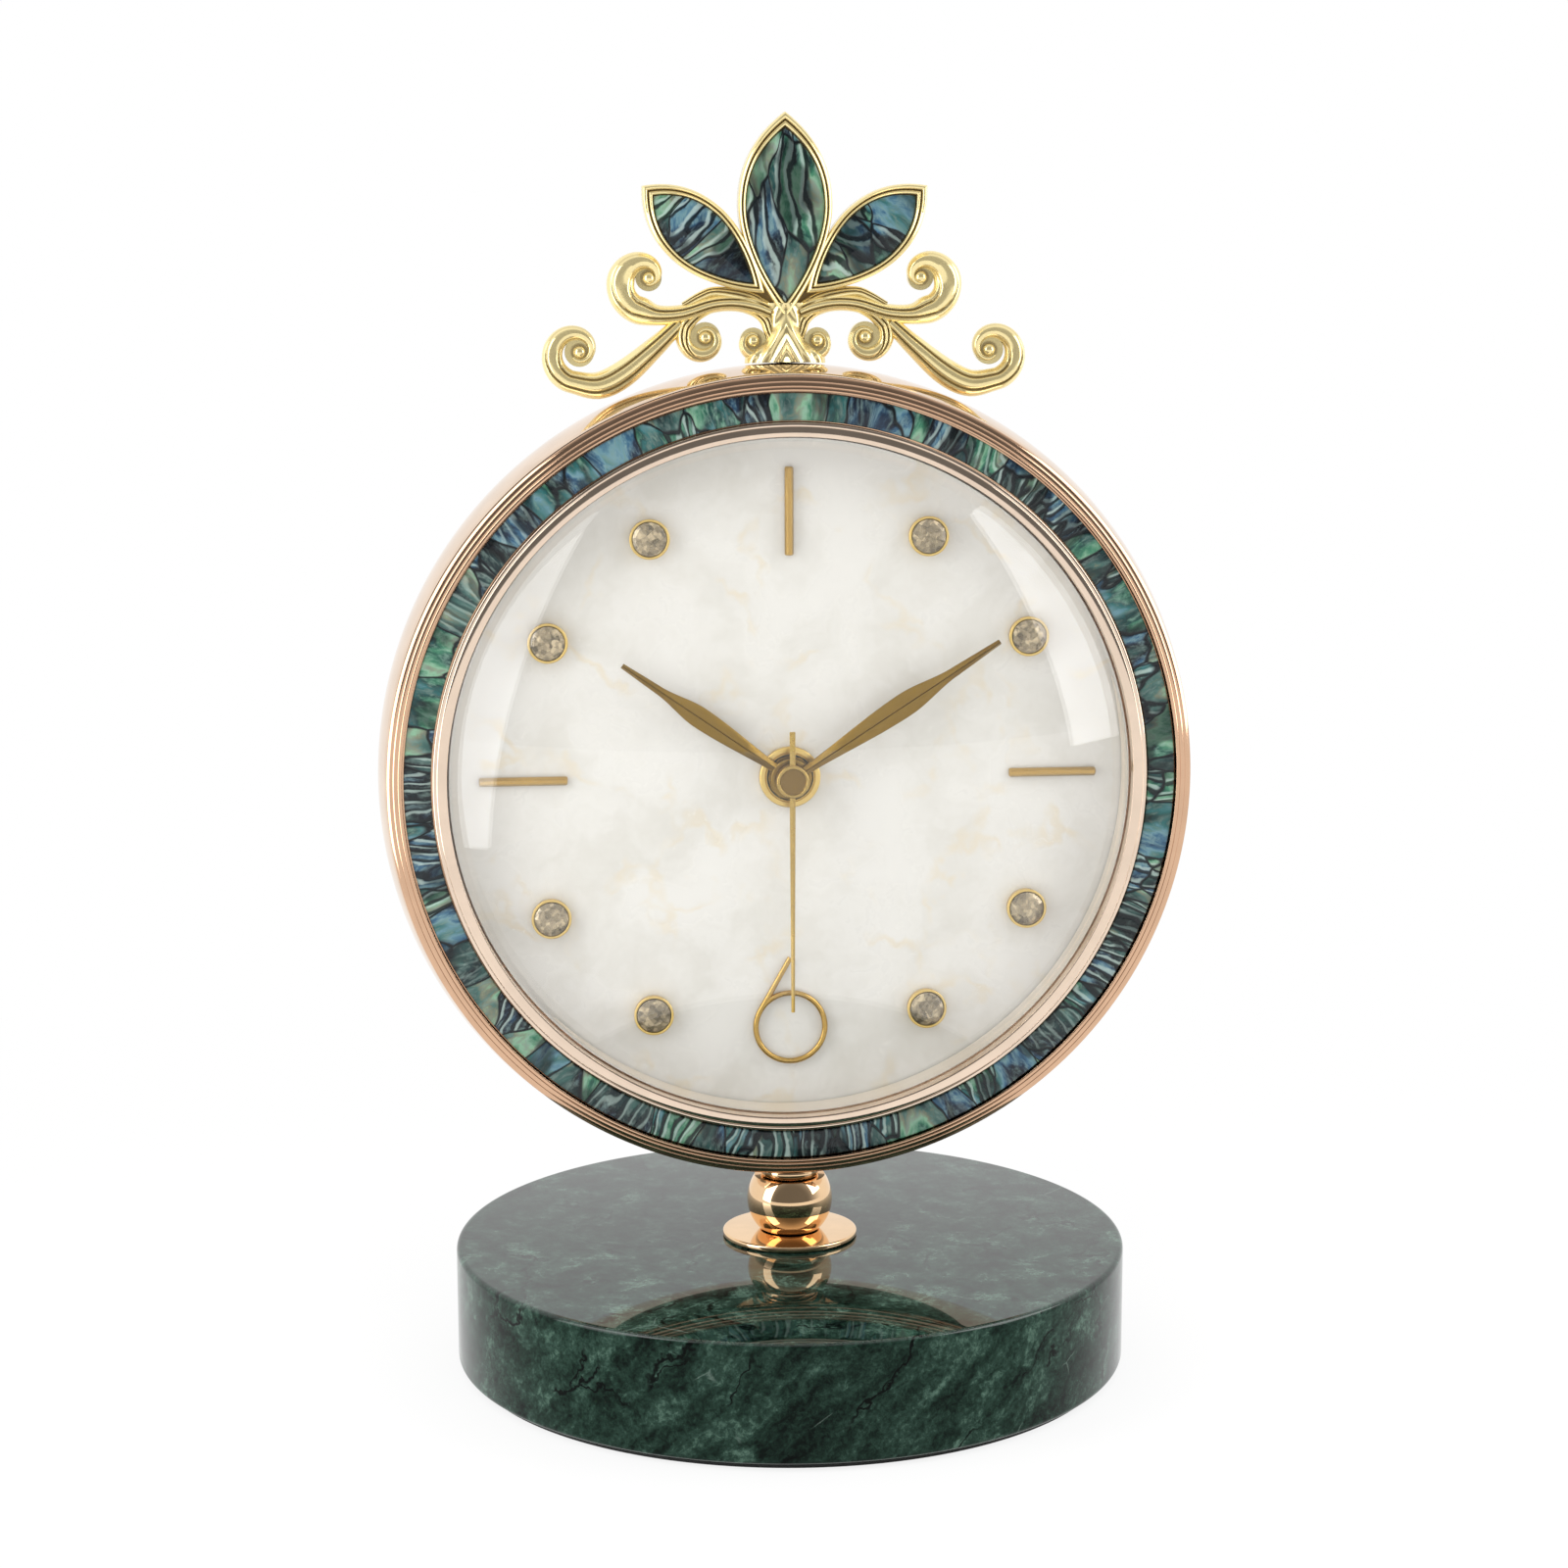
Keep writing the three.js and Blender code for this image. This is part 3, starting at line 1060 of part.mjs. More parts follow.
function addCrown() {
  const leaves = {
    left: { ...SIDE_LEAF, x: -SIDE_LEAF.x, turn: -SIDE_LEAF.turn },
    centre: CENTRE_LEAF,
    right: SIDE_LEAF,
  };
  const toCase = (geometry) => geometry.translate(0, CROWN_AT, drumRadius);

  const stem = new THREE.Shape().moveTo(-CROWN_FOOT_HALF, -CROWN_SINK);
  stem.lineTo(CROWN_FOOT_HALF, -CROWN_SINK).lineTo(CROWN_FOOT_HALF, CROWN_FOOT_HEIGHT);
  stem.quadraticCurveTo(CROWN_WAIST_HALF, CROWN_FOOT_HEIGHT, CROWN_WAIST_HALF, CROWN_STEM_TOP);
  stem.lineTo(-CROWN_WAIST_HALF, CROWN_STEM_TOP);
  stem.quadraticCurveTo(-CROWN_WAIST_HALF, CROWN_FOOT_HEIGHT, -CROWN_FOOT_HALF, CROWN_FOOT_HEIGHT);
  const foot = plate(stem, -CROWN_FOOT_DEPTH / 2, CROWN_FOOT_DEPTH / 2, SOFT_CURVE_STEPS);

  const web = new THREE.Shape().moveTo(-WEB_HALF, CROWN_STEM_TOP).lineTo(0, CENTRE_LEAF.z);
  web.lineTo(WEB_HALF, CROWN_STEM_TOP).lineTo(WEB_HALF, SIDE_LEAF.z + WEB_HALF / 2).lineTo(0, WEB_TOP);
  web.lineTo(-WEB_HALF, SIDE_LEAF.z + WEB_HALF / 2);
  const webPlate = plate(web, -leafFront - WEB_DEPTH, -leafFront);

  const scrolls = SCROLLS.map(scrollGeometry);
  const settings = Object.values(leaves).map(leafSetting);
  const casting = join(foot, webPlate, ...scrolls, ...scrolls.map(mirrored), ...settings);
  const screwHole = CROWN_SCREW_RADIUS + SCREW_GAP;
  const screwTip = drumRadius + CROWN_SCREW_GRIP;
  const holeTop = screwTip + SCREW_GAP;
  const hole = turnedUp([[0, 0], [screwHole, 0], [screwHole, holeTop], [0, holeTop]], SHAFT_SIDES);
  const tools = [drumEnvelope(FIT_GAP), hole.translate(0, CROWN_SCREW_AT, 0)];
  mesh(caseGroup, 'crown_casting', cut(toCase(casting), ...tools), YELLOW_GOLD);

  Object.entries(leaves).forEach(([side, leaf]) => {
    mesh(caseGroup, `leaf_shell_${side}`, toCase(leafShell(leaf)), ABALONE);
  });

  const headTop = drumInner - SEAT_GAP;
  const screw = turnedUp([
    [0, headTop - CROWN_SCREW_HEAD],
    [SCREW_HEAD_RADIUS, headTop - CROWN_SCREW_HEAD],
    [SCREW_HEAD_RADIUS, headTop],
    [CROWN_SCREW_RADIUS, headTop],
    [CROWN_SCREW_RADIUS, screwTip],
    [0, screwTip],
  ], SMALL_SIDES);
  mesh(caseGroup, 'crown_screw', screw.translate(0, CROWN_SCREW_AT, 0), STEEL);
}

addFoot();
addCase();
addDialTrim();
addHands();
addMotionWorks();
addGoingTrain();
addMovementBody();
addCrown();

export default clock;
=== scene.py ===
import math
import types

import bmesh
import bpy
import numpy as np
from bpy.props import FloatProperty, FloatVectorProperty, PointerProperty
from mathutils import Matrix, Vector


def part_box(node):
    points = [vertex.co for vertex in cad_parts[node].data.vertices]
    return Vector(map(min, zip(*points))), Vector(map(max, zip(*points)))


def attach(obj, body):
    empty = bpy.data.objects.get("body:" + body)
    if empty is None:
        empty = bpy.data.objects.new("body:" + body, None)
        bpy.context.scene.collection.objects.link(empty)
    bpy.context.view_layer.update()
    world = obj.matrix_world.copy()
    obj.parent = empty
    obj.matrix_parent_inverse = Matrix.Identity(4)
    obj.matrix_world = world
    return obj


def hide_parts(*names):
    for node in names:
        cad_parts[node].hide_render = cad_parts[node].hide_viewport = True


bl_info = {
    "name": "Tabletop Clock",
    "version": (1, 0, 0),
    "blender": (4, 5, 0),
    "location": "3D View > Sidebar > Clock",
    "description": "Dresses the solids of a round tabletop clock with their visible surfaces",
    "category": "Object",
}

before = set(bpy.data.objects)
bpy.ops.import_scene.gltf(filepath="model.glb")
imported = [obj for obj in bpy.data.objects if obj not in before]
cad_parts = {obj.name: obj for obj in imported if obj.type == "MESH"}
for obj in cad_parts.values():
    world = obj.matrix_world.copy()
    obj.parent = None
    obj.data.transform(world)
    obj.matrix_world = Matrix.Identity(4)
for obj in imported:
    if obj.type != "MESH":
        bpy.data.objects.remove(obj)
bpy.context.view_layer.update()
MM = 0.001
TURN = 2 * np.pi
STILL = "clock_body"
ACROSS, DEEP, UP = 0, 1, 2


# Reading the frame, in millimetres

def span(node, axis):
    """The lowest and highest coordinate of a solid along an axis."""
    return [corner[axis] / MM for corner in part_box(node)]


def radius(node):
    """Half the width of a solid, which is its radius where it is round."""
    low, high = span(node, ACROSS)
    return (high - low) / 2


def middle(node, axis):
    """Halfway between a solid's lowest and highest coordinate along an axis."""
    return sum(span(node, axis)) / 2


# Places that pieces share, in millimetres: the axes of base and dial, the drum and the top of the case
FOOT_AXIS = (0, 0, 0)
CENTRE = middle("case_drum", UP)
DIAL_AXIS = (0, 0, CENTRE)
DRUM_RADIUS = radius("case_drum")
DRUM_FRONT, DRUM_BACK = span("case_drum", DEEP)
CASE_TOP = CENTRE + DRUM_RADIUS

# Running gap between neighbours, and how near to its axis a closed profile ends
GAP = 0.3
PIN = 0.01

# Sides of the rounds of the case, of base and dial, and of the stem
CASE_SIDES = 256
BASE_SIDES = 224
STEM_SIDES = 128

# Degrees clockwise from twelve: where the hands point at rest, and how far a side leaf of the crown leans
HAND_ANGLES = {"hour": 304.75, "minute": 57.0, "second": 180}
SIDE_LEAF_TURN = 49


# Sizes and colours that a user would change

def length(name, description, millimetres):
    return FloatProperty(
        name=name, description=description, default=millimetres * MM, unit="LENGTH", precision=5)


def angle(name, description, degrees):
    return FloatProperty(name=name, description=description, default=math.radians(degrees), unit="ROTATION")


def level(name, description, default):
    return FloatProperty(name=name, description=description, default=default)


def colour(name, description, default):
    return FloatVectorProperty(
        name=name, description=description, default=default, subtype="COLOR", size=3, min=0, max=1)


class ClockFootSizes(bpy.types.PropertyGroup):
    base_edge: length("Base edge", "Rounding of the marble's edges", 1.0)
    ball_rise: length("Ball rise", "From the ball's cut underside up to its centre", 5.6)
    hole: length("Bolt hole", "Radius of the hole for the bolt", 2.3)


class ClockCaseSizes(bpy.types.PropertyGroup):
    drum_widest: length("Widest depth", "Depth at which the drum is widest", 3)
    drum_swell: length("Drum swell", "How far the flank swells behind its front edge", 1.5)
    drum_taper: length("Drum taper", "How far the flank falls in towards the rear", 4.5)
    drum_lip: length("Drum lip", "How far the drum reaches in under the rim", 1.9)
    rim_width: length("Rim width", "Width of the banded rim", 2.7)
    shell_width: length("Shell width", "Width of the shell inlay", 4.8)
    ring_width: length("Crystal ring width", "Width of the ring round the glass", 2.5)
    glass_thickness: length("Glass thickness", "Thickness of the glass", 2)
    shoulder: length("Glass shoulder", "Width of the rounded shoulder of the glass", 1.8)
    cone: length("Cone", "How far the wall round the dial draws in towards it", 0.9)
    view_radius: length("View radius", "Radius of the dial that shows", 60.5)


class ClockDialSizes(bpy.types.PropertyGroup):
    dial_hole: length("Dial hole", "Radius of the hole for the hands", 4.2)
    bar_far: length("Bar end", "Distance from the axis to a bar's outer end", 55.1)
    bar_length: length("Bar length", "Length of the hour bars", 15.6)
    bar_width: length("Bar width", "Width of the hour bars", 1.5)
    six_radius: length("Six radius", "Radius of the six's ring to the middle of its wire", 6.25)
    six_drop: length("Six drop", "Distance from the axis down to the middle of the six's ring", 45.7)
    six_rise: length("Six tail", "Distance from the ring's middle to the tip of its tail", 12.7)
    six_wire: length("Six wire", "Thickness of the six's wire", 1)
    stud_circle: length("Stud circle", "Radius on which the studs stand", 49.3)


class ClockHandSizes(bpy.types.PropertyGroup):
    hour_length: length("Hour hand length", "From the axis to the hour hand's tip", 36.2)
    hour_width: length("Hour hand width", "Widest part of the hour hand", 3.8)
    hour_bore: length("Hour bore", "Radius of the hole in the hour hand's boss", 2.2)
    hour_boss: length("Hour boss", "Radius of the hour hand's boss", 3.6)
    minute_length: length("Minute hand length", "From the axis to the minute hand's tip", 44.2)
    minute_width: length("Minute hand width", "Widest part of the minute hand", 4.3)
    minute_bore: length("Minute bore", "Radius of the hole in the minute hand's boss", 1.4)
    minute_boss: length("Minute boss", "Radius of the minute hand's boss", 2.8)
    second_length: length("Second hand length", "From the axis to the second hand's tip", 41.8)
    second_tail: length("Second hand tail", "From the axis to the end of the tail", 8.8)
    second_width: length("Second hand width", "Width of the second hand", 1)
    cap_radius: length("Cap radius", "Radius of the second hand's cap", 2.9)
    nut_bore: length("Nut bore", "Radius of the hole in the dial nut", 4.2)


class ClockCrownSizes(bpy.types.PropertyGroup):
    plane: length("Crown depth", "Depth of the crown's middle plane", middle("crown_casting", DEEP))
    foot_half: length("Foot half width", "Half the width of the crown's foot", 7.2)
    foot_deep: length("Foot half depth", "Half the depth of the crown's foot", 3.4)
    stem_top: length("Stem top", "Height of the crown's stem above the case", 10.5)
    relief: length("Scroll relief", "How far the scrolls rise from their middle plane", 2.4)
    bead: length("Eye bead", "Radius of the bead in a scroll's eye", 1.1)
    groove: length("Groove depth", "Depth of the lines that run along the scrolls", 0.55)
    leaf_half: length("Leaf half width", "Half the width of the centre leaf", 8.3)
    leaf_length: length("Leaf length", "Length of the centre leaf", 35.7)
    leaf_low: length("Leaf foot", "Height of the centre leaf's lower tip above the case", 7.9)
    side_half: length("Side leaf half width", "Half the width of a side leaf", 6.2)
    side_length: length("Side leaf length", "Length of a side leaf", 28.4)
    side_across: length("Side leaf offset", "Distance of a side leaf's lower tip from the middle", 3.7)
    side_low: length("Side leaf foot", "Height of a side leaf's lower tip above the case", 12.2)
    leaf_deep: length("Leaf half depth", "Half the depth of a leaf setting", 2.1)
    leaf_rim: length("Leaf rim", "Width of a leaf setting's rim", 1.3)


class ClockRearSizes(bpy.types.PropertyGroup):
    window_gap: length("Window gap", "Gap between the movement and the cover's window", 1)
    knob_height: length("Knob height", "Height of the setting knob", 2.4)
    screw_height: length("Screw head height", "Height of the cover screws' heads", 1.1)


class ClockColours(bpy.types.PropertyGroup):
    rose_gold: colour("Rose gold", "Polished metal of the case", (0.88, 0.705, 0.56))
    rim_gold: colour("Rim gold", "Banded rim of the case", (0.73, 0.47, 0.31))
    wall_gold: colour("Wall gold", "Pale wall between the glass and the dial", (0.97, 0.91, 0.83))
    stem_gold: colour("Stem gold", "Polished metal of the stem", (0.92, 0.64, 0.38))
    yellow_gold: colour("Yellow gold", "Cast metal of the crown", (1.0, 0.84, 0.43))
    # Gold shadow is painted shade: a dark tone in the lines, troughs and recesses of the crown and hands
    gold_shadow: colour("Gold shadow", "Tone in the lines of the crown and hands", (0.16, 0.088, 0.02))
    satin_gold: colour("Satin gold", "Metal of the hands", (0.29, 0.18, 0.038))
    needle_gold: colour("Needle gold", "Metal of the second hand", (0.48, 0.33, 0.10))
    nut_gold: colour("Nut gold", "Metal of the dial nut and the cups", (0.78, 0.56, 0.19))
    trim_gold: colour("Trim gold", "Metal of the bars and the six", (0.57, 0.37, 0.115))
    marble: colour("Marble", "Ground of the marble", (0.010, 0.026, 0.018))
    marble_mid: colour("Marble streak", "Middle green of the marble", (0.024, 0.053, 0.039))
    marble_light: colour("Marble cloud", "Lighter green in the marble", (0.095, 0.168, 0.128))
    marble_dark: colour("Marble depth", "Darkest green of the marble", (0.0015, 0.005, 0.0035))
    marble_vein: colour("Marble vein", "Thin pale veins of the marble", (0.34, 0.45, 0.39))
    pearl: colour("Pearl", "Ground of the dial", (0.79, 0.775, 0.725))
    pearl_cloud: colour("Pearl cloud", "Darker clouds of the dial", (0.67, 0.65, 0.585))
    pearl_vein: colour("Pearl vein", "Warm veins of the dial", (0.735, 0.63, 0.435))
    pearl_fleck: colour("Pearl fleck", "Bright flecks of the dial", (0.88, 0.86, 0.80))
    stone: colour("Stone", "Ground of the stones on the dial", (0.44, 0.36, 0.23))
    steel: colour("Steel", "Screws, bolt and arbor", (0.60, 0.61, 0.62))
    cover: colour("Cover", "Rear cover and rotor", (0.022, 0.022, 0.024))
    plastic: colour("Dark plastic", "Movement's housing and setting knob", (0.028, 0.030, 0.032))
    wheel: colour("White plastic", "Movement's wheels", (0.66, 0.66, 0.62))
    copper: colour("Copper", "Drive coil and the battery's band", (0.60, 0.27, 0.12))
    board: colour("Board", "Circuit board", (0.02, 0.13, 0.05))
    cell: colour("Cell", "Sleeve of the battery", (0.045, 0.05, 0.06))
    felt: colour("Felt", "Pad under the base", (0.02, 0.022, 0.021))
    floor: colour("Floor", "Floor that the clock stands on", (0.95, 0.95, 0.945))


class ClockStageSettings(bpy.types.PropertyGroup):
    camera: FloatVectorProperty(
        name="Camera", description="Where the camera stands", subtype="TRANSLATION", unit="LENGTH", size=3,
        default=(-57.2 * MM, -572.9 * MM, 203.6 * MM))
    yaw: angle("Yaw", "Turn of the camera", -5.62)
    pitch: angle("Pitch", "Tilt of the camera", -9.61)
    roll: angle("Roll", "Roll of the camera", 0.16)
    lens: FloatProperty(name="Lens", description="Focal length", unit="CAMERA", default=74.6)
    ambient: level("Ambient", "Light from all round on matt surfaces", 0.40)
    zenith: level("Zenith", "Light from above on matt surfaces", 1.02)
    front: level("Dim front", "Room in front of the clock, as polish shows it", 0.17)
    strip: level("Strip lamps", "Brightness of the two tall lamps", 3.2)
    floor_white: level("Floor white", "Share of plain white on the floor", 0.85)


def in_mm(group):
    """The lengths of a property group by name, in millimetres."""
    return types.SimpleNamespace(**{name: getattr(group, name) / MM for name in type(group).__annotations__})


# Surfaces

def smooth(x, low, high):
    """Rises from 0 at low to 1 at high along the cubic 3t^2 - 2t^3."""
    t = np.clip((np.asarray(x, float) - low) / (high - low), 0, 1)
    return t * t * (3 - 2 * t)


def around(sides):
    """Angles of even steps once round."""
    return np.linspace(0, TURN, sides, endpoint=False)


def directions(path):
    """The unit direction along a path at each of its points."""
    along = np.gradient(path, axis=0)
    return along / np.linalg.norm(along, axis=1, keepdims=True)


def through(stations, count):
    """A curve through the stations: between two of them a cubic whose end slopes come from the neighbours."""
    p = np.asarray(stations, float)
    p = np.vstack([2 * p[0] - p[1], p, 2 * p[-1] - p[-2]])
    u = np.linspace(0, len(p) - 3, count)
    i = np.minimum(u.astype(int), len(p) - 4)
    f = (u - i)[:, None]
    a, b, c, d = p[i], p[i + 1], p[i + 2], p[i + 3]
    return b + f / 2 * (c - a + f * (2 * a - 5 * b + 4 * c - d + f * (3 * (b - c) + d - a)))


def parabola(start, corner, end, t):
    """The curve that leaves its start towards a corner and reaches its end from there, for t from 0 to 1."""
    return (1 - t) ** 2 * start + 2 * t * (1 - t) * corner + t ** 2 * end


def rounded(corners, steps=5):
    """A closed outline from corners (r, t, rounding): each corner is the parabola that leaves one side at
    the rounding's distance from the corner and joins the next side at the same distance."""
    p = np.asarray(corners, float)
    at, size = p[:, :2], p[:, 2:]
    before = np.roll(at, 1, 0) - at
    after = np.roll(at, -1, 0) - at
    start = at + before * size / np.linalg.norm(before, axis=1, keepdims=True)
    end = at + after * size / np.linalg.norm(after, axis=1, keepdims=True)
    t = np.linspace(0, 1, steps)[None, :, None]
    return parabola(start[:, None], at[:, None], end[:, None], t).reshape(-1, 2)


def turned(profile, sides, axis, centre=(0, 0, 0)):
    """Surface of revolution: (r, t) goes to r sin a and r cos a across the axis and to t along it, for angles
    a once round."""
    r, t = np.asarray(profile, float).T
    a = around(sides)
    across, up, along = np.outer(np.sin(a), r), np.outer(np.cos(a), r), np.tile(t, (sides, 1))
    order = {"X": (along, across, up), "Y": (across, along, up), "Z": (across, up, along)}[axis]
    return np.stack(order, -1) + np.asarray(centre, float)


def clockwise(points, degrees, height):
    """Turns points about the dial's axis, as a hand goes round from twelve, and lifts them to a height."""
    a = math.radians(degrees)
    x, y, z = np.moveaxis(points, -1, 0)
    return np.stack([x * math.cos(a) + z * math.sin(a), y, z * math.cos(a) - x * math.sin(a) + height], -1)


def loft(across, rise, girth, along, back):
    """A bar along Z with a flat back: at each place along it, its section's width is scaled by the girth."""
    x = across * girth[:, None]
    return np.stack([x, np.broadcast_to(back - rise, x.shape), np.broadcast_to(along[:, None], x.shape)], -1)


class Skin:
    """Gathers grids of points, in millimetres, into one mesh in metres."""

    # Points nearer than this are one point, and edges shorter than this are dropped, in metres
    MERGED = 2e-6
    DROPPED = 1e-7

    def __init__(self):
        self.points, self.faces, self.masks, self.count = [], [], [], 0

    def grid(self, points, loop_rows=False, loop_columns=True, caps=False, mask=0.0):
        """Adds quads between neighbours of a grid of rows x columns. A looped direction joins its last line
        to its first, and caps close the first and the last row with one face each."""
        rows, columns = points.shape[:2]
        i, j = np.meshgrid(
            np.arange(rows - (not loop_rows)), np.arange(columns - (not loop_columns)), indexing="ij")
        i1, j1 = (i + 1) % rows, (j + 1) % columns
        quads = np.stack([i * columns + j, i * columns + j1, i1 * columns + j1, i1 * columns + j], -1)
        self.faces += (quads.reshape(-1, 4) + self.count).tolist()
        if caps:
            ring = np.arange(columns) + self.count
            self.faces += [ring.tolist(), (ring + (rows - 1) * columns)[::-1].tolist()]
        self.points.append(points.reshape(-1, 3))
        self.masks.append(np.broadcast_to(mask, (rows, columns)).ravel())
        self.count += rows * columns
        return self

    def mesh(self, name):
        mesh = bpy.data.meshes.new(name)
        mesh.from_pydata((np.vstack(self.points) * MM).tolist(), [], self.faces)
        return mesh

    def build(self, name, material, slot, node, body=STILL, sharp=40):
        """Makes the piece that stands for a node: shared corners are merged, faces point outwards and edges
        over the angle stay sharp."""
        mesh = self.mesh(name)
        # The mask carries painted shade for lines and recesses, and on the bezel the wall's paler tone
        mask = mesh.attributes.new("groove", "FLOAT", "POINT")
        mask.data.foreach_set("value", np.concatenate(self.masks).astype(np.float32))
        bm = bmesh.new()
        bm.from_mesh(mesh)
        bmesh.ops.remove_doubles(bm, verts=bm.verts, dist=self.MERGED)
        bmesh.ops.dissolve_degenerate(bm, edges=bm.edges, dist=self.DROPPED)
        bmesh.ops.recalc_face_normals(bm, faces=bm.faces)
        bm.to_mesh(mesh)
        bm.free()
        mesh.shade_smooth()
        mesh.set_sharp_from_angle(angle=math.radians(sharp))
        mesh.materials.append(material)
        piece = bpy.data.objects.new(name, mesh)
        bpy.context.scene.collection.objects.link(piece)
        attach(piece, body)
        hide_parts(node)
        return piece


def lathe(name, profile, sides, axis, centre, material, slot, node, mask=0.0):
    """Builds a piece of revolution from a closed profile."""
    skin = Skin().grid(turned(profile, sides, axis, centre), loop_rows=True, mask=mask)
    return skin.build(name, material, slot, node)


def dress(material, *nodes):
    """Gives solids that keep their own shape a finish."""
    for name in nodes:
        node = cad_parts[name]
        node.data.materials.clear()
        node.data.materials.append(material)


# Shader nodes

class Nodes:
    """Short hand for one node tree: adds nodes, sets plain values and joins sockets."""

    def __init__(self, tree):
        self.tree = tree

    def feed(self, socket, value):
        if isinstance(value, bpy.types.NodeSocket):
            self.tree.links.new(value, socket)
        elif value is not None:
            socket.default_value = value

    def paint(self, node, **inputs):
        """Sets or joins a node's inputs by name."""
        for name, value in inputs.items():
            self.feed(node.inputs[name.replace("_", " ")], value)

    def add(self, kind, settings=None, **inputs):
        node = self.tree.nodes.new("ShaderNode" + kind)
        for name, value in (settings or {}).items():
            setattr(node, name, value)
        self.paint(node, **inputs)
        return node

    def worked(self, kind, operation, values, out=0):
        node = self.add(kind, {"operation": operation})
        for socket, value in zip(node.inputs, values):
            self.feed(socket, value)
        return node.outputs[out]

    def math(self, operation, *values):
        return self.worked("Math", operation, values)

    def times(self, a, b):
        return self.math("MULTIPLY", a, b)

    def plus(self, a, b):
        return self.math("ADD", a, b)

    def less(self, a, b):
        return self.math("SUBTRACT", a, b)

    def weighted(self, a, share_a, b, share_b):
        """The sum of two values, each times its own share."""
        return self.plus(self.times(a, share_a), self.times(b, share_b))

    def vector(self, operation, *values, out=0):
        return self.worked("VectorMath", operation, values, out)

    def scaled(self, vector, factor):
        return self.add("VectorMath", {"operation": "SCALE"}, Vector=vector, Scale=factor).outputs[0]

    def moved(self, vector, way, reach):
        return self.vector("ADD", vector, self.scaled(way, reach))

    def leaning(self, vector, angle):
        return self.add("VectorRotate", {"rotation_type": "Y_AXIS"}, Vector=vector, Angle=angle).outputs[0]

    def split(self, vector):
        return self.add("SeparateXYZ", None, Vector=vector).outputs

    def channels(self, colour):
        return self.add("SeparateColor", None, Color=colour).outputs

    def mix(self, factor, a, b, blend="MIX"):
        """Mixes two colours, each a socket or three plain values."""
        node = self.add("Mix", {"data_type": "RGBA", "blend_type": blend})
        self.feed(node.inputs[0], factor)
        for socket, tone in zip((node.inputs[6], node.inputs[7]), (a, b)):
            self.feed(socket, tone if isinstance(tone, bpy.types.NodeSocket) else (*tone, 1))
        return node.outputs[2]

    def step(self, value, low, high, start=0.0, end=1.0):
        """A soft step of a value: start below low, end above high."""
        settings = {"interpolation_type": "SMOOTHSTEP"}
        node = self.add(
            "MapRange", settings, Value=value, From_Min=low, From_Max=high, To_Min=start, To_Max=end)
        return node.outputs[0]

    def noise(self, vector, scale, detail=3.0, roughness=0.55, distortion=0.0, out="Fac"):
        node = self.add(
            "TexNoise", None, Vector=vector, Scale=scale, Detail=detail, Roughness=roughness,
            Distortion=distortion)
        return node.outputs[out]

    def wander(self, vector, scale, detail, roughness):
        """A direction that changes slowly from place to place, about zero."""
        cloud = self.noise(vector, scale, detail, roughness, out="Color")
        return self.vector("SUBTRACT", cloud, (0.5, 0.5, 0.5))

    def cells(self, vector, scale, feature="F1", out="Distance"):
        return self.add("TexVoronoi", {"feature": feature}, Vector=vector, Scale=scale).outputs[out]

    def seams(self, vector, scale):
        """Distance to the border between two cells."""
        return self.cells(vector, scale, "DISTANCE_TO_EDGE")

    def ramp(self, factor, stops):
        """A colour ramp with stops (place, colour)."""
        node = self.add("ValToRGB", None, Fac=factor)
        elements = node.color_ramp.elements
        while len(elements) < len(stops):
            elements.new(0.5)
        for element, (place, tone) in zip(elements, stops):
            element.position = place
            element.color = (*tone, 1)
        return node.outputs["Color"]

    def bump(self, shader, height, strength, distance):
        """Bends a shader's normals by a height that counts for a distance in metres."""
        node = self.add("Bump", None, Height=height, Strength=strength, Distance=distance)
        self.paint(shader, Normal=node.outputs[0])

    def coordinates(self):
        """Object coordinates in millimetres."""
        return self.scaled(self.add("TexCoord").outputs["Object"], 1 / MM)

    def surface(self, factor, first, second):
        """Ends a material in a mix of two shaders."""
        mixed = self.add("MixShader", None, Fac=factor)
        self.feed(mixed.inputs[1], first)
        self.feed(mixed.inputs[2], second)
        self.paint(self.tree.nodes["Material Output"], Surface=mixed.outputs[0])


def tinted(tone, share):
    """A colour made darker or brighter, up to full."""
    return [min(1.0, part * share) for part in tone]


def effect(name, inputs, outputs, draw):
    """A shader node group, made once: inputs and outputs are names by kind, and draw fills the group."""
    tree = bpy.data.node_groups.get(name)
    if tree:
        return tree
    tree = bpy.data.node_groups.new(name, "ShaderNodeTree")
    for way, sockets in (("INPUT", inputs), ("OUTPUT", outputs)):
        for label, kind in sockets.items():
            tree.interface.new_socket(name=label, in_out=way, socket_type="NodeSocket" + kind)
    start = tree.nodes.new("NodeGroupInput")
    end = tree.nodes.new("NodeGroupOutput")
    nodes = Nodes(tree)
    nodes.paint(end, **draw(nodes, start.outputs))
    return tree


def place(nodes, tree, **inputs):
    return nodes.add("Group", {"node_tree": tree}, **inputs).outputs


def finish(name, draw):
    """A material, made once: draw gets its nodes and its Principled shader."""
    material = bpy.data.materials.get(name)
    if material:
        return material
    material = bpy.data.materials.new(name)
    material.use_nodes = True
    nodes = Nodes(material.node_tree)
    draw(nodes, material.node_tree.nodes["Principled BSDF"])
    return material


# Shared effects

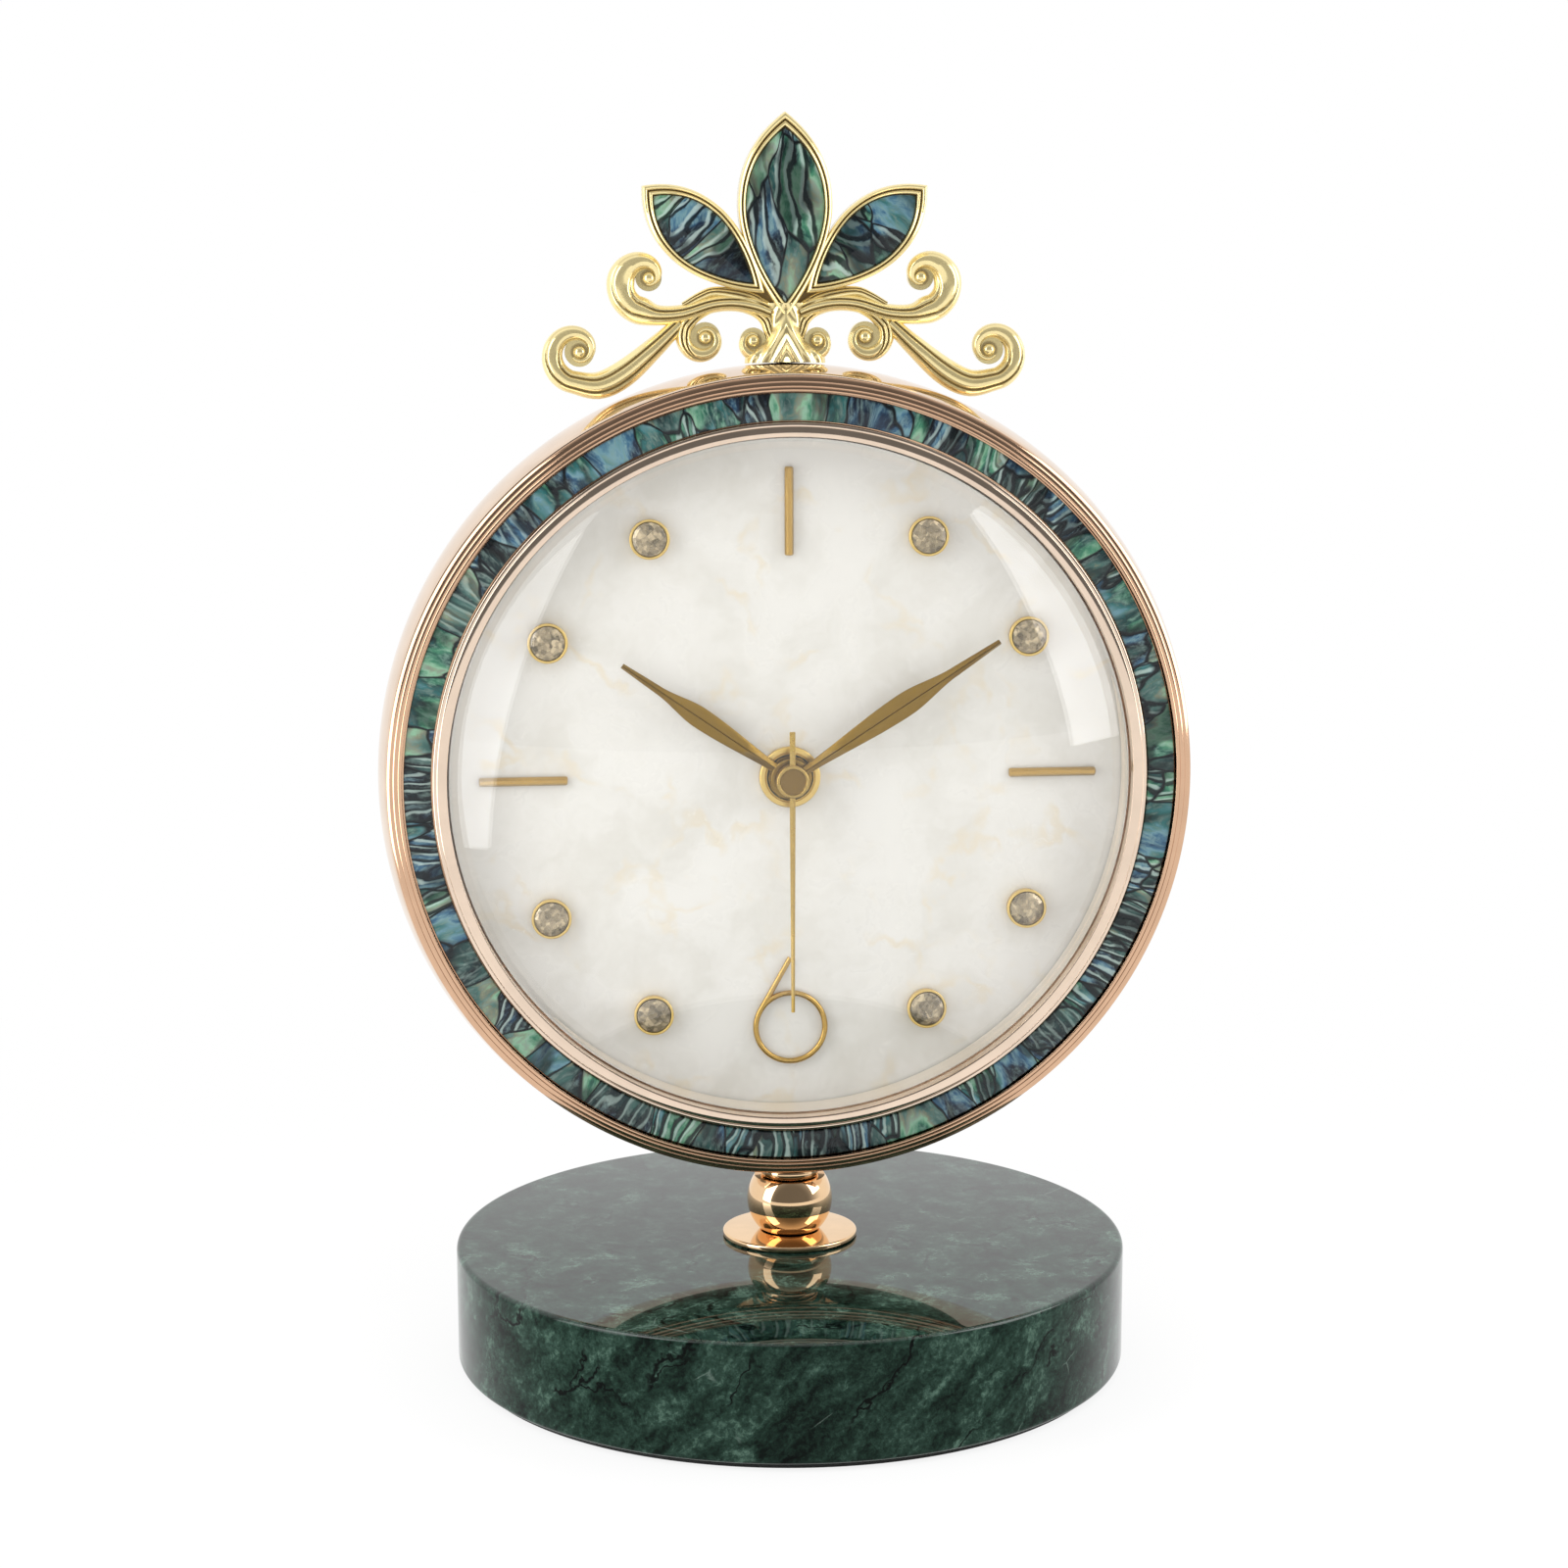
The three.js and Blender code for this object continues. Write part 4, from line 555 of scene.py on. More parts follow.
def handling():
    """Polished metal that has been wiped: broad smudges, and a fine grain along X for brushed pieces."""
    def draw(nodes, ins):
        at = ins["Vector"]
        smudge = nodes.step(nodes.noise(at, 0.09, 4.0, 0.6), 0.42, 0.68)
        brush = nodes.noise(nodes.vector("MULTIPLY", at, (0.5, 6.0, 6.0)), 1.2, 3.0, 0.6)
        haze = nodes.times(smudge, ins["Haze"])
        shade = nodes.step(nodes.noise(at, 0.16, 3.0), 0.3, 0.75)
        return {"Roughness": nodes.plus(ins["Polish"], haze), "Shade": shade, "Height": brush}
    return effect(
        "Handled metal", {"Vector": "Vector", "Polish": "Float", "Haze": "Float"},
        {"Roughness": "Float", "Shade": "Float", "Height": "Float"}, draw)


def moulding():
    """Moulded or sprayed surface: a fine grain with slow changes of gloss."""
    def draw(nodes, ins):
        grain = nodes.noise(ins["Vector"], ins["Grain"], 2.0, 0.6)
        slow = nodes.noise(ins["Vector"], 0.08, 3.0)
        tone = nodes.step(nodes.plus(nodes.times(grain, 0.4), slow), 0.4, 1.0, 0.8, 1.15)
        gloss = nodes.step(slow, 0.3, 0.7, 0.36, 0.54)
        return {"Height": grain, "Tone": tone, "Roughness": gloss}
    return effect(
        "Moulded grain", {"Vector": "Vector", "Grain": "Float"},
        {"Height": "Float", "Tone": "Float", "Roughness": "Float"}, draw)


# Tones of abalone as (place, colour), from black through blue, teal, green and sand and back
ABALONE = (
    (0.00, (0.004, 0.006, 0.010)), (0.09, (0.010, 0.026, 0.055)), (0.18, (0.036, 0.110, 0.190)),
    (0.27, (0.130, 0.260, 0.310)), (0.36, (0.020, 0.120, 0.120)), (0.44, (0.008, 0.045, 0.042)),
    (0.54, (0.045, 0.190, 0.110)), (0.64, (0.220, 0.410, 0.270)), (0.72, (0.180, 0.190, 0.130)),
    (0.80, (0.045, 0.120, 0.105)), (0.90, (0.010, 0.034, 0.036)), (1.00, (0.004, 0.006, 0.010)))
ABALONE_MILK = (0.24, 0.35, 0.31)
# Painted highlight: pale tone laid along one side of each growth line, as if the line were embossed
ABALONE_PAINTED_HIGHLIGHT = (0.46, 0.58, 0.53)
ABALONE_SHADE = (0.16, 0.19, 0.20)
ABALONE_LINE = (0.003, 0.006, 0.008)


def strata():
    """Polished shell, in coordinates that cross its growth lines along X and follow them along Z. Each shard
    of the bent space has its own tone and slant. Dark lines run through those that aren't plain, each with
    a painted highlight, a pale band along one side as if the line were embossed."""
    def draw(nodes, ins):
        at = nodes.vector("MULTIPLY", nodes.vector("ADD", ins["Vector"], ins["Shift"]), (1.0, 1.0, 0.45))
        bent = nodes.moved(at, nodes.wander(at, 0.13, 2.0, 0.5), 7.0)
        own = nodes.cells(bent, ins["Shards"], out="Color")
        shard = nodes.channels(own)
        slant = nodes.times(nodes.less(shard[1], 0.5), 1.5)
        across = nodes.split(nodes.leaning(bent, slant))[0]
        wave = nodes.noise(nodes.moved(bent, own, 40.0), 0.2, 2.0, 0.5)
        fine = nodes.noise(bent, 1.1, 5.0, 0.65)
        phase = nodes.times(nodes.times(across, ins["Lines"]), TURN)
        phase = nodes.plus(phase, nodes.weighted(wave, 11.0, fine, 1.8))
        lined = nodes.step(nodes.less(shard[0], ins["Plain"]), -0.09, 0.09)
        line = nodes.times(nodes.step(nodes.math("SINE", phase), 0.3, 0.9), lined)
        # Painted highlight along one side of each line, where a shifted sine nears its peak
        painted_highlight = nodes.times(nodes.step(nodes.math("SINE", nodes.plus(phase, 1.9)), 0.4, 0.98), lined)
        hue = nodes.plus(nodes.times(shard[2], 2.7), nodes.weighted(wave, 1.1, fine, 0.3))
        tone = nodes.ramp(nodes.math("FRACT", hue), ABALONE)
        tone = nodes.mix(nodes.step(fine, 0.42, 0.72, 0.0, 0.5), tone, ABALONE_MILK)
        tone = nodes.mix(nodes.times(painted_highlight, 0.6), tone, ABALONE_PAINTED_HIGHLIGHT)
        lit = nodes.less(nodes.noise(bent, 0.16, 2.0, 0.5), ins["Light"])
        shade = nodes.step(lit, 0.46, 0.56, 0.0, 0.9)
        tone = nodes.mix(shade, tone, nodes.mix(1.0, tone, ABALONE_SHADE, "MULTIPLY"))
        crack = nodes.step(nodes.seams(bent, ins["Shards"]), 0.006, 0.035, 1.0, 0.0)
        dark = nodes.math("MAXIMUM", nodes.times(line, 0.92), crack)
        tone = nodes.mix(dark, tone, ABALONE_LINE)
        return {"Color": tone, "Height": nodes.less(nodes.plus(painted_highlight, fine), dark)}
    inputs = {"Vector": "Vector", "Shift": "Vector"}
    inputs.update({label: "Float" for label in ("Shards", "Lines", "Plain", "Light")})
    return effect("Shell strata", inputs, {"Color": "Color", "Height": "Float"}, draw)


# Finishes

def metal(name, tone, polish, haze, shadow=None, brushed=0.0, metallic=1.0):
    """Polished, satin or lacquered metal. Where a second tone is given, the piece's groove mask brings it in
    and dulls the metal there: on the crown and hands it is a dark tone, painted shade in their lines and
    recesses, and on the bezel the wall's own paler tone."""
    def draw(nodes, shader):
        worn = place(nodes, handling(), Vector=nodes.coordinates(), Polish=polish, Haze=haze)
        base = nodes.mix(worn["Shade"], tinted(tone, 0.92), tone)
        rough = worn["Roughness"]
        if shadow:
            mask = nodes.add("Attribute", {"attribute_name": "groove"}).outputs["Fac"]
            # Painted shade where the mask marks lines and recesses, and on the bezel the wall's own paler
            # tone
            base = nodes.mix(mask, base, shadow)
            rough = nodes.plus(rough, nodes.times(mask, 0.25))
        nodes.paint(shader, Base_Color=base, Roughness=rough, Metallic=metallic)
        if brushed:
            nodes.bump(shader, worn["Height"], brushed, 0.05 * MM)
    return finish(name, draw)


def plastic(name, tone, grain=3.0, metallic=0.0):
    """Moulded plastic, or paint over metal."""
    def draw(nodes, shader):
        skin = place(nodes, moulding(), Vector=nodes.coordinates(), Grain=grain)
        base = nodes.mix(skin["Tone"], tinted(tone, 0.6), tone)
        nodes.paint(shader, Base_Color=base, Roughness=skin["Roughness"], Metallic=metallic)
        nodes.bump(shader, skin["Height"], 0.25, 0.1 * MM)
    return finish(name, draw)


def shell(name, shift, shards, lines, plain, light, lie=0.0, ring=None):
    """Abalone under a clear, polished coat. Its growth lines stand at an angle, or point to the middle of a
    ring given as (height, radius): there X is the way round the ring and Z the way out."""
    def draw(nodes, shader):
        at = nodes.coordinates()
        if ring:
            x, _, z = nodes.split(at)
            rise = nodes.less(z, ring[0])
            out = nodes.math("SQRT", nodes.plus(nodes.times(x, x), nodes.times(rise, rise)))
            way = nodes.times(nodes.math("ARCTAN2", x, rise), ring[1])
            at = nodes.add("CombineXYZ", None, X=way, Y=0.0, Z=out).outputs[0]
        else:
            at = nodes.leaning(at, lie)
        grown = place(
            nodes, strata(), Vector=at, Shift=shift, Shards=shards, Lines=lines, Plain=plain, Light=light)
        nodes.paint(
            shader, Base_Color=grown["Color"], Roughness=0.22, Specular_IOR_Level=0.3, Coat_Weight=0.35,
            Coat_Roughness=0.03)
        nodes.bump(shader, grown["Height"], 0.45, 0.2 * MM)
    return finish(name, draw)


def marble(tones, honed):
    """Dark green marble: slanting pale streaks, a crystalline mottle, black cracks and a few thin veins. Its
    top is polished, and below a height its honed side shines only at a glance."""
    def draw(nodes, shader):
        at = nodes.coordinates()
        slant = nodes.vector("MULTIPLY", nodes.leaning(at, math.radians(42)), (0.28, 0.6, 1.0))
        drift = nodes.wander(at, 0.07, 4.0, 0.6)
        jag = nodes.wander(at, 0.35, 4.0, 0.65)
        bent = nodes.moved(nodes.moved(slant, drift, 8.0), jag, 2.2)
        streak = nodes.noise(bent, 0.24, 9.0, 0.68)
        crystal = nodes.noise(nodes.moved(at, jag, 2.0), 1.0, 8.0, 0.8)
        tone = nodes.ramp(nodes.weighted(streak, 0.62, crystal, 0.38), (
            (0.40, tones.marble_dark), (0.48, tones.marble), (0.54, tones.marble_mid),
            (0.63, tones.marble_light)))
        split = nodes.moved(nodes.moved(slant, drift, 14.0), jag, 2.4)
        crack = nodes.step(nodes.seams(split, 0.065), 0.005, 0.024, 0.97, 0.0)
        shown = nodes.step(nodes.noise(at, 0.09, 2.0), 0.42, 0.54)
        tone = nodes.mix(nodes.times(crack, shown), tone, tinted(tones.marble_dark, 0.3))
        apart = nodes.vector("ADD", nodes.moved(slant, jag, 0.8), (40.0, 15.0, 70.0))
        vein = nodes.step(nodes.seams(apart, 0.045), 0.0, 0.006, 0.22, 0.0)
        vein = nodes.times(vein, nodes.step(nodes.noise(at, 0.11, 2.0), 0.58, 0.66))
        glance = nodes.add("LayerWeight", None, Blend=0.5).outputs["Facing"]
        side = nodes.step(glance, 0.25, 0.8, 0.15, 0.9)
        nodes.paint(
            shader, Base_Color=nodes.mix(vein, tone, tones.marble_vein),
            Roughness=nodes.step(crystal, 0.3, 0.7, 0.02, 0.08),
            Coat_Weight=nodes.step(nodes.split(at)[2], honed - 0.3, honed + 0.3, side, 1.0),
            Specular_IOR_Level=0.0, Coat_IOR=1.5, Coat_Roughness=0.02)
        nodes.bump(shader, crystal, 0.04, 0.1 * MM)
    return finish("Green marble", draw)


def pearl(tones):
    """Mother of pearl and white onyx: soft clouds, warm broken veins and small bright flecks."""
    def draw(nodes, shader):
        at = nodes.coordinates()
        bent = nodes.moved(at, nodes.wander(at, 0.05, 4.0, 0.6), 34.0)
        cloud = nodes.noise(bent, 0.045, 6.0, 0.6)
        tone = nodes.mix(nodes.step(cloud, 0.40, 0.70, 0.0, 0.8), tones.pearl, tones.pearl_cloud)
        broken = nodes.step(nodes.noise(at, 0.075, 3.0), 0.47, 0.64)
        vein = nodes.times(nodes.step(nodes.seams(bent, 0.035), 0.0, 0.06, 0.5, 0.0), broken)
        tone = nodes.mix(vein, tone, tones.pearl_vein)
        fleck = nodes.times(nodes.step(nodes.noise(bent, 0.5, 3.0, 0.5, 1.0), 0.66, 0.74), broken)
        tone = nodes.mix(nodes.times(fleck, 0.7), tone, tones.pearl_fleck)
        nodes.paint(
            shader, Base_Color=tone, Roughness=nodes.step(cloud, 0.3, 0.7, 0.22, 0.38), Coat_Weight=0.3,
            Coat_Roughness=0.08)
        nodes.bump(shader, fleck, 0.1, 0.1 * MM)
    return finish("Pearl dial", draw)


def glass():
    """Clear glass that lets the lamps' light through to the dial."""
    def draw(nodes, shader):
        smear = nodes.step(nodes.noise(nodes.coordinates(), 0.05, 4.0), 0.5, 0.8, 0.0, 0.02)
        nodes.paint(
            shader, Base_Color=(1, 1, 1, 1), Roughness=smear, Metallic=0.0, Transmission_Weight=1.0,
            IOR=1.45)
        path = nodes.add("LightPath").outputs
        passing = nodes.math("MAXIMUM", path["Is Shadow Ray"], path["Is Diffuse Ray"])
        nodes.surface(passing, shader.outputs[0], nodes.add("BsdfTransparent").outputs[0])
    return finish("Crystal glass", draw)


def brilliant(tone):
    """Foiled stone: flat cells of two sizes, each painted a brightness from dark to bright: painted glints
    and painted shade that stand in for the reflections of a cut stone's inner faces.
    """
    def draw(nodes, shader):
        at = nodes.coordinates()
        large = nodes.channels(nodes.cells(at, 0.8, out="Color"))
        small = nodes.channels(nodes.cells(at, 1.5, out="Color"))
        # Painted glints and shade: each cell's brightness, from three tenths of the stone's tone to half
        # again as bright, stands in for a facet's reflection
        painted_glints = ((0.1, 0.3), (0.45, 0.7), (0.65, 0.9), (0.9, 1.5))
        base = nodes.ramp(
            nodes.weighted(large[0], 0.55, small[1], 0.45),
            [(place, tinted(tone, share)) for place, share in painted_glints])
        nodes.paint(
            shader, Base_Color=base, Metallic=0.4, Roughness=0.2, Coat_Weight=0.3, Coat_Roughness=0.02)
        nodes.bump(shader, large[2], 0.3, 0.5 * MM)
    return finish("Foiled stone", draw)


def felt(tone):
    """Matt pad with a short pile."""
    def draw(nodes, shader):
        pile = nodes.noise(nodes.coordinates(), 2.2, 5.0, 0.75)
        base = nodes.mix(pile, tinted(tone, 0.4), tinted(tone, 1.6))
        nodes.paint(shader, Base_Color=base, Roughness=0.95, Sheen_Weight=0.3)
        nodes.bump(shader, pile, 0.6, 0.3 * MM)
    return finish("Felt pad", draw)


def sleeve(tone, top, band=12.0):
    """Battery sleeve: a dark body, and a copper-coloured band from a place across to its raised end."""
    def draw(nodes, shader):
        at = nodes.coordinates()
        x = nodes.split(at)[0]
        skin = place(nodes, moulding(), Vector=at, Grain=2.0)
        dark = nodes.mix(skin["Tone"], tinted(tone, 0.6), tone)
        nodes.paint(
            shader, Base_Color=nodes.mix(nodes.step(x, band, band + 0.2), dark, top),
            Metallic=nodes.step(x, band, band + 0.2, 0.1, 0.9), Roughness=skin["Roughness"])
    return finish("Battery sleeve", draw)


class Finishes:
    """The clock's metals, from the colours in the sidebar, each with its polish and its smudges' haze."""

    def __init__(self, tones):
        self.rose = metal("Rose gold", tones.rose_gold, 0.06, 0.04)
        self.rim = metal("Rim gold", tones.rim_gold, 0.08, 0.04, tones.wall_gold)
        self.stem = metal("Stem gold", tones.stem_gold, 0.05, 0.03)
        # The cast, satin and needle golds darken with painted shade where their pieces' masks mark lines and
        # recesses
        self.yellow = metal("Cast gold", tones.yellow_gold, 0.12, 0.05, tones.gold_shadow, metallic=0.68)
        self.satin = metal("Satin gold", tones.satin_gold, 0.30, 0.08, tones.gold_shadow, brushed=0.15)
        self.nut = metal("Nut gold", tones.nut_gold, 0.28, 0.08, brushed=0.1)
        self.trim = metal("Trim gold", tones.trim_gold, 0.18, 0.06)
        self.needle = metal("Needle gold", tones.needle_gold, 0.26, 0.08, tones.gold_shadow)
        self.steel = metal("Steel", tones.steel, 0.22, 0.1)


# Foot

def disc(node, hole, below, above, steps=5):
    """Section of a flat round piece as large as its solid, rounded below and above."""
    low, high = span(node, UP)
    wide = radius(node)
    return rounded([(hole, low, 0), (wide, low, below), (wide, high, above), (hole, high, 0)], steps)


def drum_radius_at(s, y):
    """The drum's radius at a depth: a parabola in front of the widest depth and another behind it."""
    ahead = y < s.drum_widest
    reach = np.where(ahead, s.drum_widest - DRUM_FRONT, DRUM_BACK - s.drum_widest)
    fall = np.where(ahead, s.drum_swell, s.drum_taper)
    return DRUM_RADIUS - fall * ((y - s.drum_widest) / reach) ** 2


class ClockFoot(bpy.types.Operator):
    """Marble base, pad, flange, ball and saddle"""
    bl_idname = "clock.foot"
    bl_label = "Build Foot"

    def execute(self, context):
        s = in_mm(context.scene.clock_foot)
        tones = context.scene.clock_colours
        metals = Finishes(tones)
        base = disc("marble_base", s.hole, s.base_edge, s.base_edge, steps=7)
        stone = marble(tones, span("marble_base", UP)[1] - s.base_edge / 2)
        lathe("marble_base_cut", base, BASE_SIDES, "Z", FOOT_AXIS, stone, "marble", "marble_base")
        pad = disc("base_pad", PIN, below=0.2, above=0.3)
        lathe("base_pad_felt", pad, BASE_SIDES, "Z", FOOT_AXIS, felt(tones.felt), "pad", "base_pad")
        flange = disc("stem_flange", s.hole, below=0.3, above=0.45, steps=6)
        lathe(
            "stem_flange_polished", flange, STEM_SIDES, "Z", FOOT_AXIS, metals.stem, "rose_gold",
            "stem_flange")
        self.ball(s, metals.stem)
        self.saddle(s, in_mm(context.scene.clock_case), metals.stem)
        dress(metals.steel, "base_bolt")
        return {"FINISHED"}

    @staticmethod
    def ball(s, material):
        """A sphere cut off below and above, with a hole through it."""
        low, high = span("stem_ball", UP)
        wide, centre = radius("stem_ball"), low + s.ball_rise
        a = np.linspace(math.asin((low - centre) / wide), math.asin((high - centre) / wide), 48)
        sphere = np.stack([wide * np.cos(a), centre + wide * np.sin(a)], -1)
        profile = np.vstack([[s.hole, low], sphere, [s.hole, high]])
        lathe("stem_ball_polished", profile, STEM_SIDES, "Z", FOOT_AXIS, material, "rose_gold", "stem_ball")

    @staticmethod
    def saddle(s, case, material):
        """A ring whose top follows the drum: its height at (x, y) is where the drum's round begins, less a
        gap."""
        bevel, gap = 0.2, 0.25
        low = span("stem_saddle", UP)[0]
        wide = radius("stem_saddle")
        r = np.array([s.hole, wide - bevel, wide, wide, wide - bevel, s.hole])
        share = np.array([0, 0, 0.2, 0.8, 1, 1])
        a = around(96)
        x, y = np.outer(np.sin(a), r), np.outer(np.cos(a), r)
        top = CENTRE - np.sqrt((drum_radius_at(case, y) + gap) ** 2 - x ** 2)
        skin = Skin().grid(np.stack([x, y, low + (top - low) * share], -1), loop_rows=True)
        skin.build("stem_saddle_seat", material, "rose_gold", "stem_saddle")


# Case

def banded(outer, inner, lines, front, fall, swell, count=73):
    """Section of a rim of rounded bands, from its outer radius to its inner one. Between two lines, given
    as shares of the way across, a band swells as half a sine to a low power, and the face falls back towards
    the outside as the square of a share."""
    share = np.linspace(0, 1, count)
    band = np.interp(share, lines, np.arange(len(lines)))
    depth = front + swell + fall * (1 - share) ** 2 - swell * np.abs(np.sin(np.pi * band)) ** 0.3
    return np.stack([outer + (inner - outer) * share, depth], -1)


class ClockCase(bpy.types.Operator):
    """Drum, banded bezel, shell inlay, crystal ring and domed glass"""
    bl_idname = "clock.case"
    bl_label = "Build Case"

    def execute(self, context):
        s = in_mm(context.scene.clock_case)
        metals = Finishes(context.scene.clock_colours)
        lip = radius("front_bezel") - s.drum_lip
        self.drum(s, lip, metals.rose)
        self.bezel(s, lip, metals.rim)
        self.inlay(s)
        self.ring(s, metals.rose)
        self.dome(s)
        return {"FINISHED"}

    @staticmethod
    def drum(s, lip, material):
        """The flank, the rear lip round the cover's pocket, and the shelf behind the dial and the bezel's
        skirt."""
        front_edge, rear_edge, rear_inset = 0.25, 0.4, 0.5
        y = np.linspace(DRUM_FRONT + front_edge, DRUM_BACK - rear_edge, 40)
        flank = drum_radius_at(s, y)
        cover = radius("rear_cover")
        ledge, seat_gap = 2.2, 0.2
        pocket, bore = cover + GAP, cover - ledge
        seat = span("rear_cover", DEEP)[0] - seat_gap
        shelf_hole, shelf_front, shelf_back = 57.7, 1.3, 3.1
        skirt_bore, rebate = 64, -3
        profile = np.vstack([
            [(lip, DRUM_FRONT), (flank[0] - front_edge, DRUM_FRONT)],
            np.stack([flank, y], -1),
            [(flank[-1] - 0.3 * rear_inset, DRUM_BACK - rear_edge / 4), (flank[-1] - rear_inset, DRUM_BACK),
             (pocket, DRUM_BACK), (pocket, seat), (bore, seat), (bore, shelf_back), (shelf_hole, shelf_back),
             (shelf_hole, shelf_front), (skirt_bore, shelf_front), (skirt_bore, rebate), (lip, rebate)]])
        lathe("case_drum_polished", profile, CASE_SIDES, "Y", DIAL_AXIS, material, "rose_gold", "case_drum")

    @staticmethod
    def bezel(s, lip, material):
        """Rim of three bands that fall back to the drum, then the plate that carries the inlay, the seat of
        the glass, the cone down to the dial, which takes the paler tone, and the skirt."""
        outer = radius("front_bezel")
        front, back = span("front_bezel", DEEP)
        inner = outer - s.rim_width
        bands = banded(outer, inner, (0, 0.4, 0.74, 1), front, fall=0.7, swell=0.18)
        neck, neck_front = outer - 0.4, DRUM_FRONT - 0.7
        under, rebate = DRUM_FRONT - GAP, DRUM_FRONT + 2.7
        plate = span("crystal_ring", DEEP)[1] + GAP
        bore, seat = radius("crystal") + GAP, span("crystal", DEEP)[1] + GAP
        skirt = 63.4
        profile = np.vstack([
            [(lip - GAP, under), (neck, under), (neck, neck_front)],
            bands,
            [(inner, plate), (bore, plate), (bore, seat), (s.view_radius, seat),
             (s.view_radius - s.cone, back), (skirt, back), (skirt, rebate), (lip - GAP, rebate)]])
        wall = (profile[:, 0] <= s.view_radius) * 1.0
        lathe(
            "front_bezel_banded", profile, CASE_SIDES, "Y", DIAL_AXIS, material, "rose_gold", "front_bezel",
            wall)

    @staticmethod
    def inlay(s):
        """A flat ring of shell with soft front edges."""
        outer = radius("shell_ring")
        front, back = span("shell_ring", DEEP)
        inner, edge = outer - s.shell_width, 0.3
        profile = rounded([(inner, back, 0), (outer, back, 0), (outer, front, edge), (inner, front, edge)])
        abalone = shell(
            "Abalone ring", (3.0, 0.0, 11.0), shards=0.12, lines=0.6, plain=0.62, light=0.07,
            ring=(CENTRE, outer))
        lathe("shell_inlay", profile, CASE_SIDES, "Y", DIAL_AXIS, abalone, "abalone", "shell_ring")

    @staticmethod
    def ring(s, material):
        """A narrow outer band and a broad inner one round the glass."""
        outer = radius("crystal_ring")
        front, back = span("crystal_ring", DEEP)
        inner = outer - s.ring_width
        bands = banded(outer, inner, (0, 0.28, 1), front, fall=0.15, swell=0.18)
        profile = np.vstack([[(outer, back)], bands, [(inner, back)]])
        lathe(
            "crystal_ring_banded", profile, CASE_SIDES, "Y", DIAL_AXIS, material, "rose_gold", "crystal_ring")

    @staticmethod
    def dome(s):
        """Both faces of the glass are parts of spheres about one centre. Its shoulder is a parabola that
        leaves the sphere along its slope and ends upright on the seat."""
        apex, back = span("crystal", DEEP)
        wide = radius("crystal")
        seat = back - s.glass_thickness
        brim = radius("crystal_ring") - s.ring_width - GAP
        edge = brim - s.shoulder
        rise = seat - s.shoulder - apex
        ball = (edge ** 2 + rise ** 2) / (2 * rise)
        slope = edge / math.sqrt(ball ** 2 - edge ** 2)
        bends = np.array([(edge, seat - s.shoulder), (brim, seat - s.shoulder * (1 - slope)), (brim, seat)])
        shoulder = parabola(*bends, np.linspace(0, 1, 9)[1:, None])
        r = np.linspace(0, 1, 48) * edge
        outside = np.stack([r, apex + ball - np.sqrt(ball ** 2 - r ** 2)], -1)
        inside = np.stack([r, apex + ball - np.sqrt((ball - s.glass_thickness) ** 2 - r ** 2)], -1)
        profile = np.vstack([outside, shoulder, [(wide, seat), (wide, back)], inside[::-1]])
        skin = Skin().grid(turned(profile, CASE_SIDES, "Y", DIAL_AXIS), loop_rows=True, loop_columns=False)
        skin.build("crystal_dome", glass(), "crystal_glass", "crystal", sharp=25)


# Rear

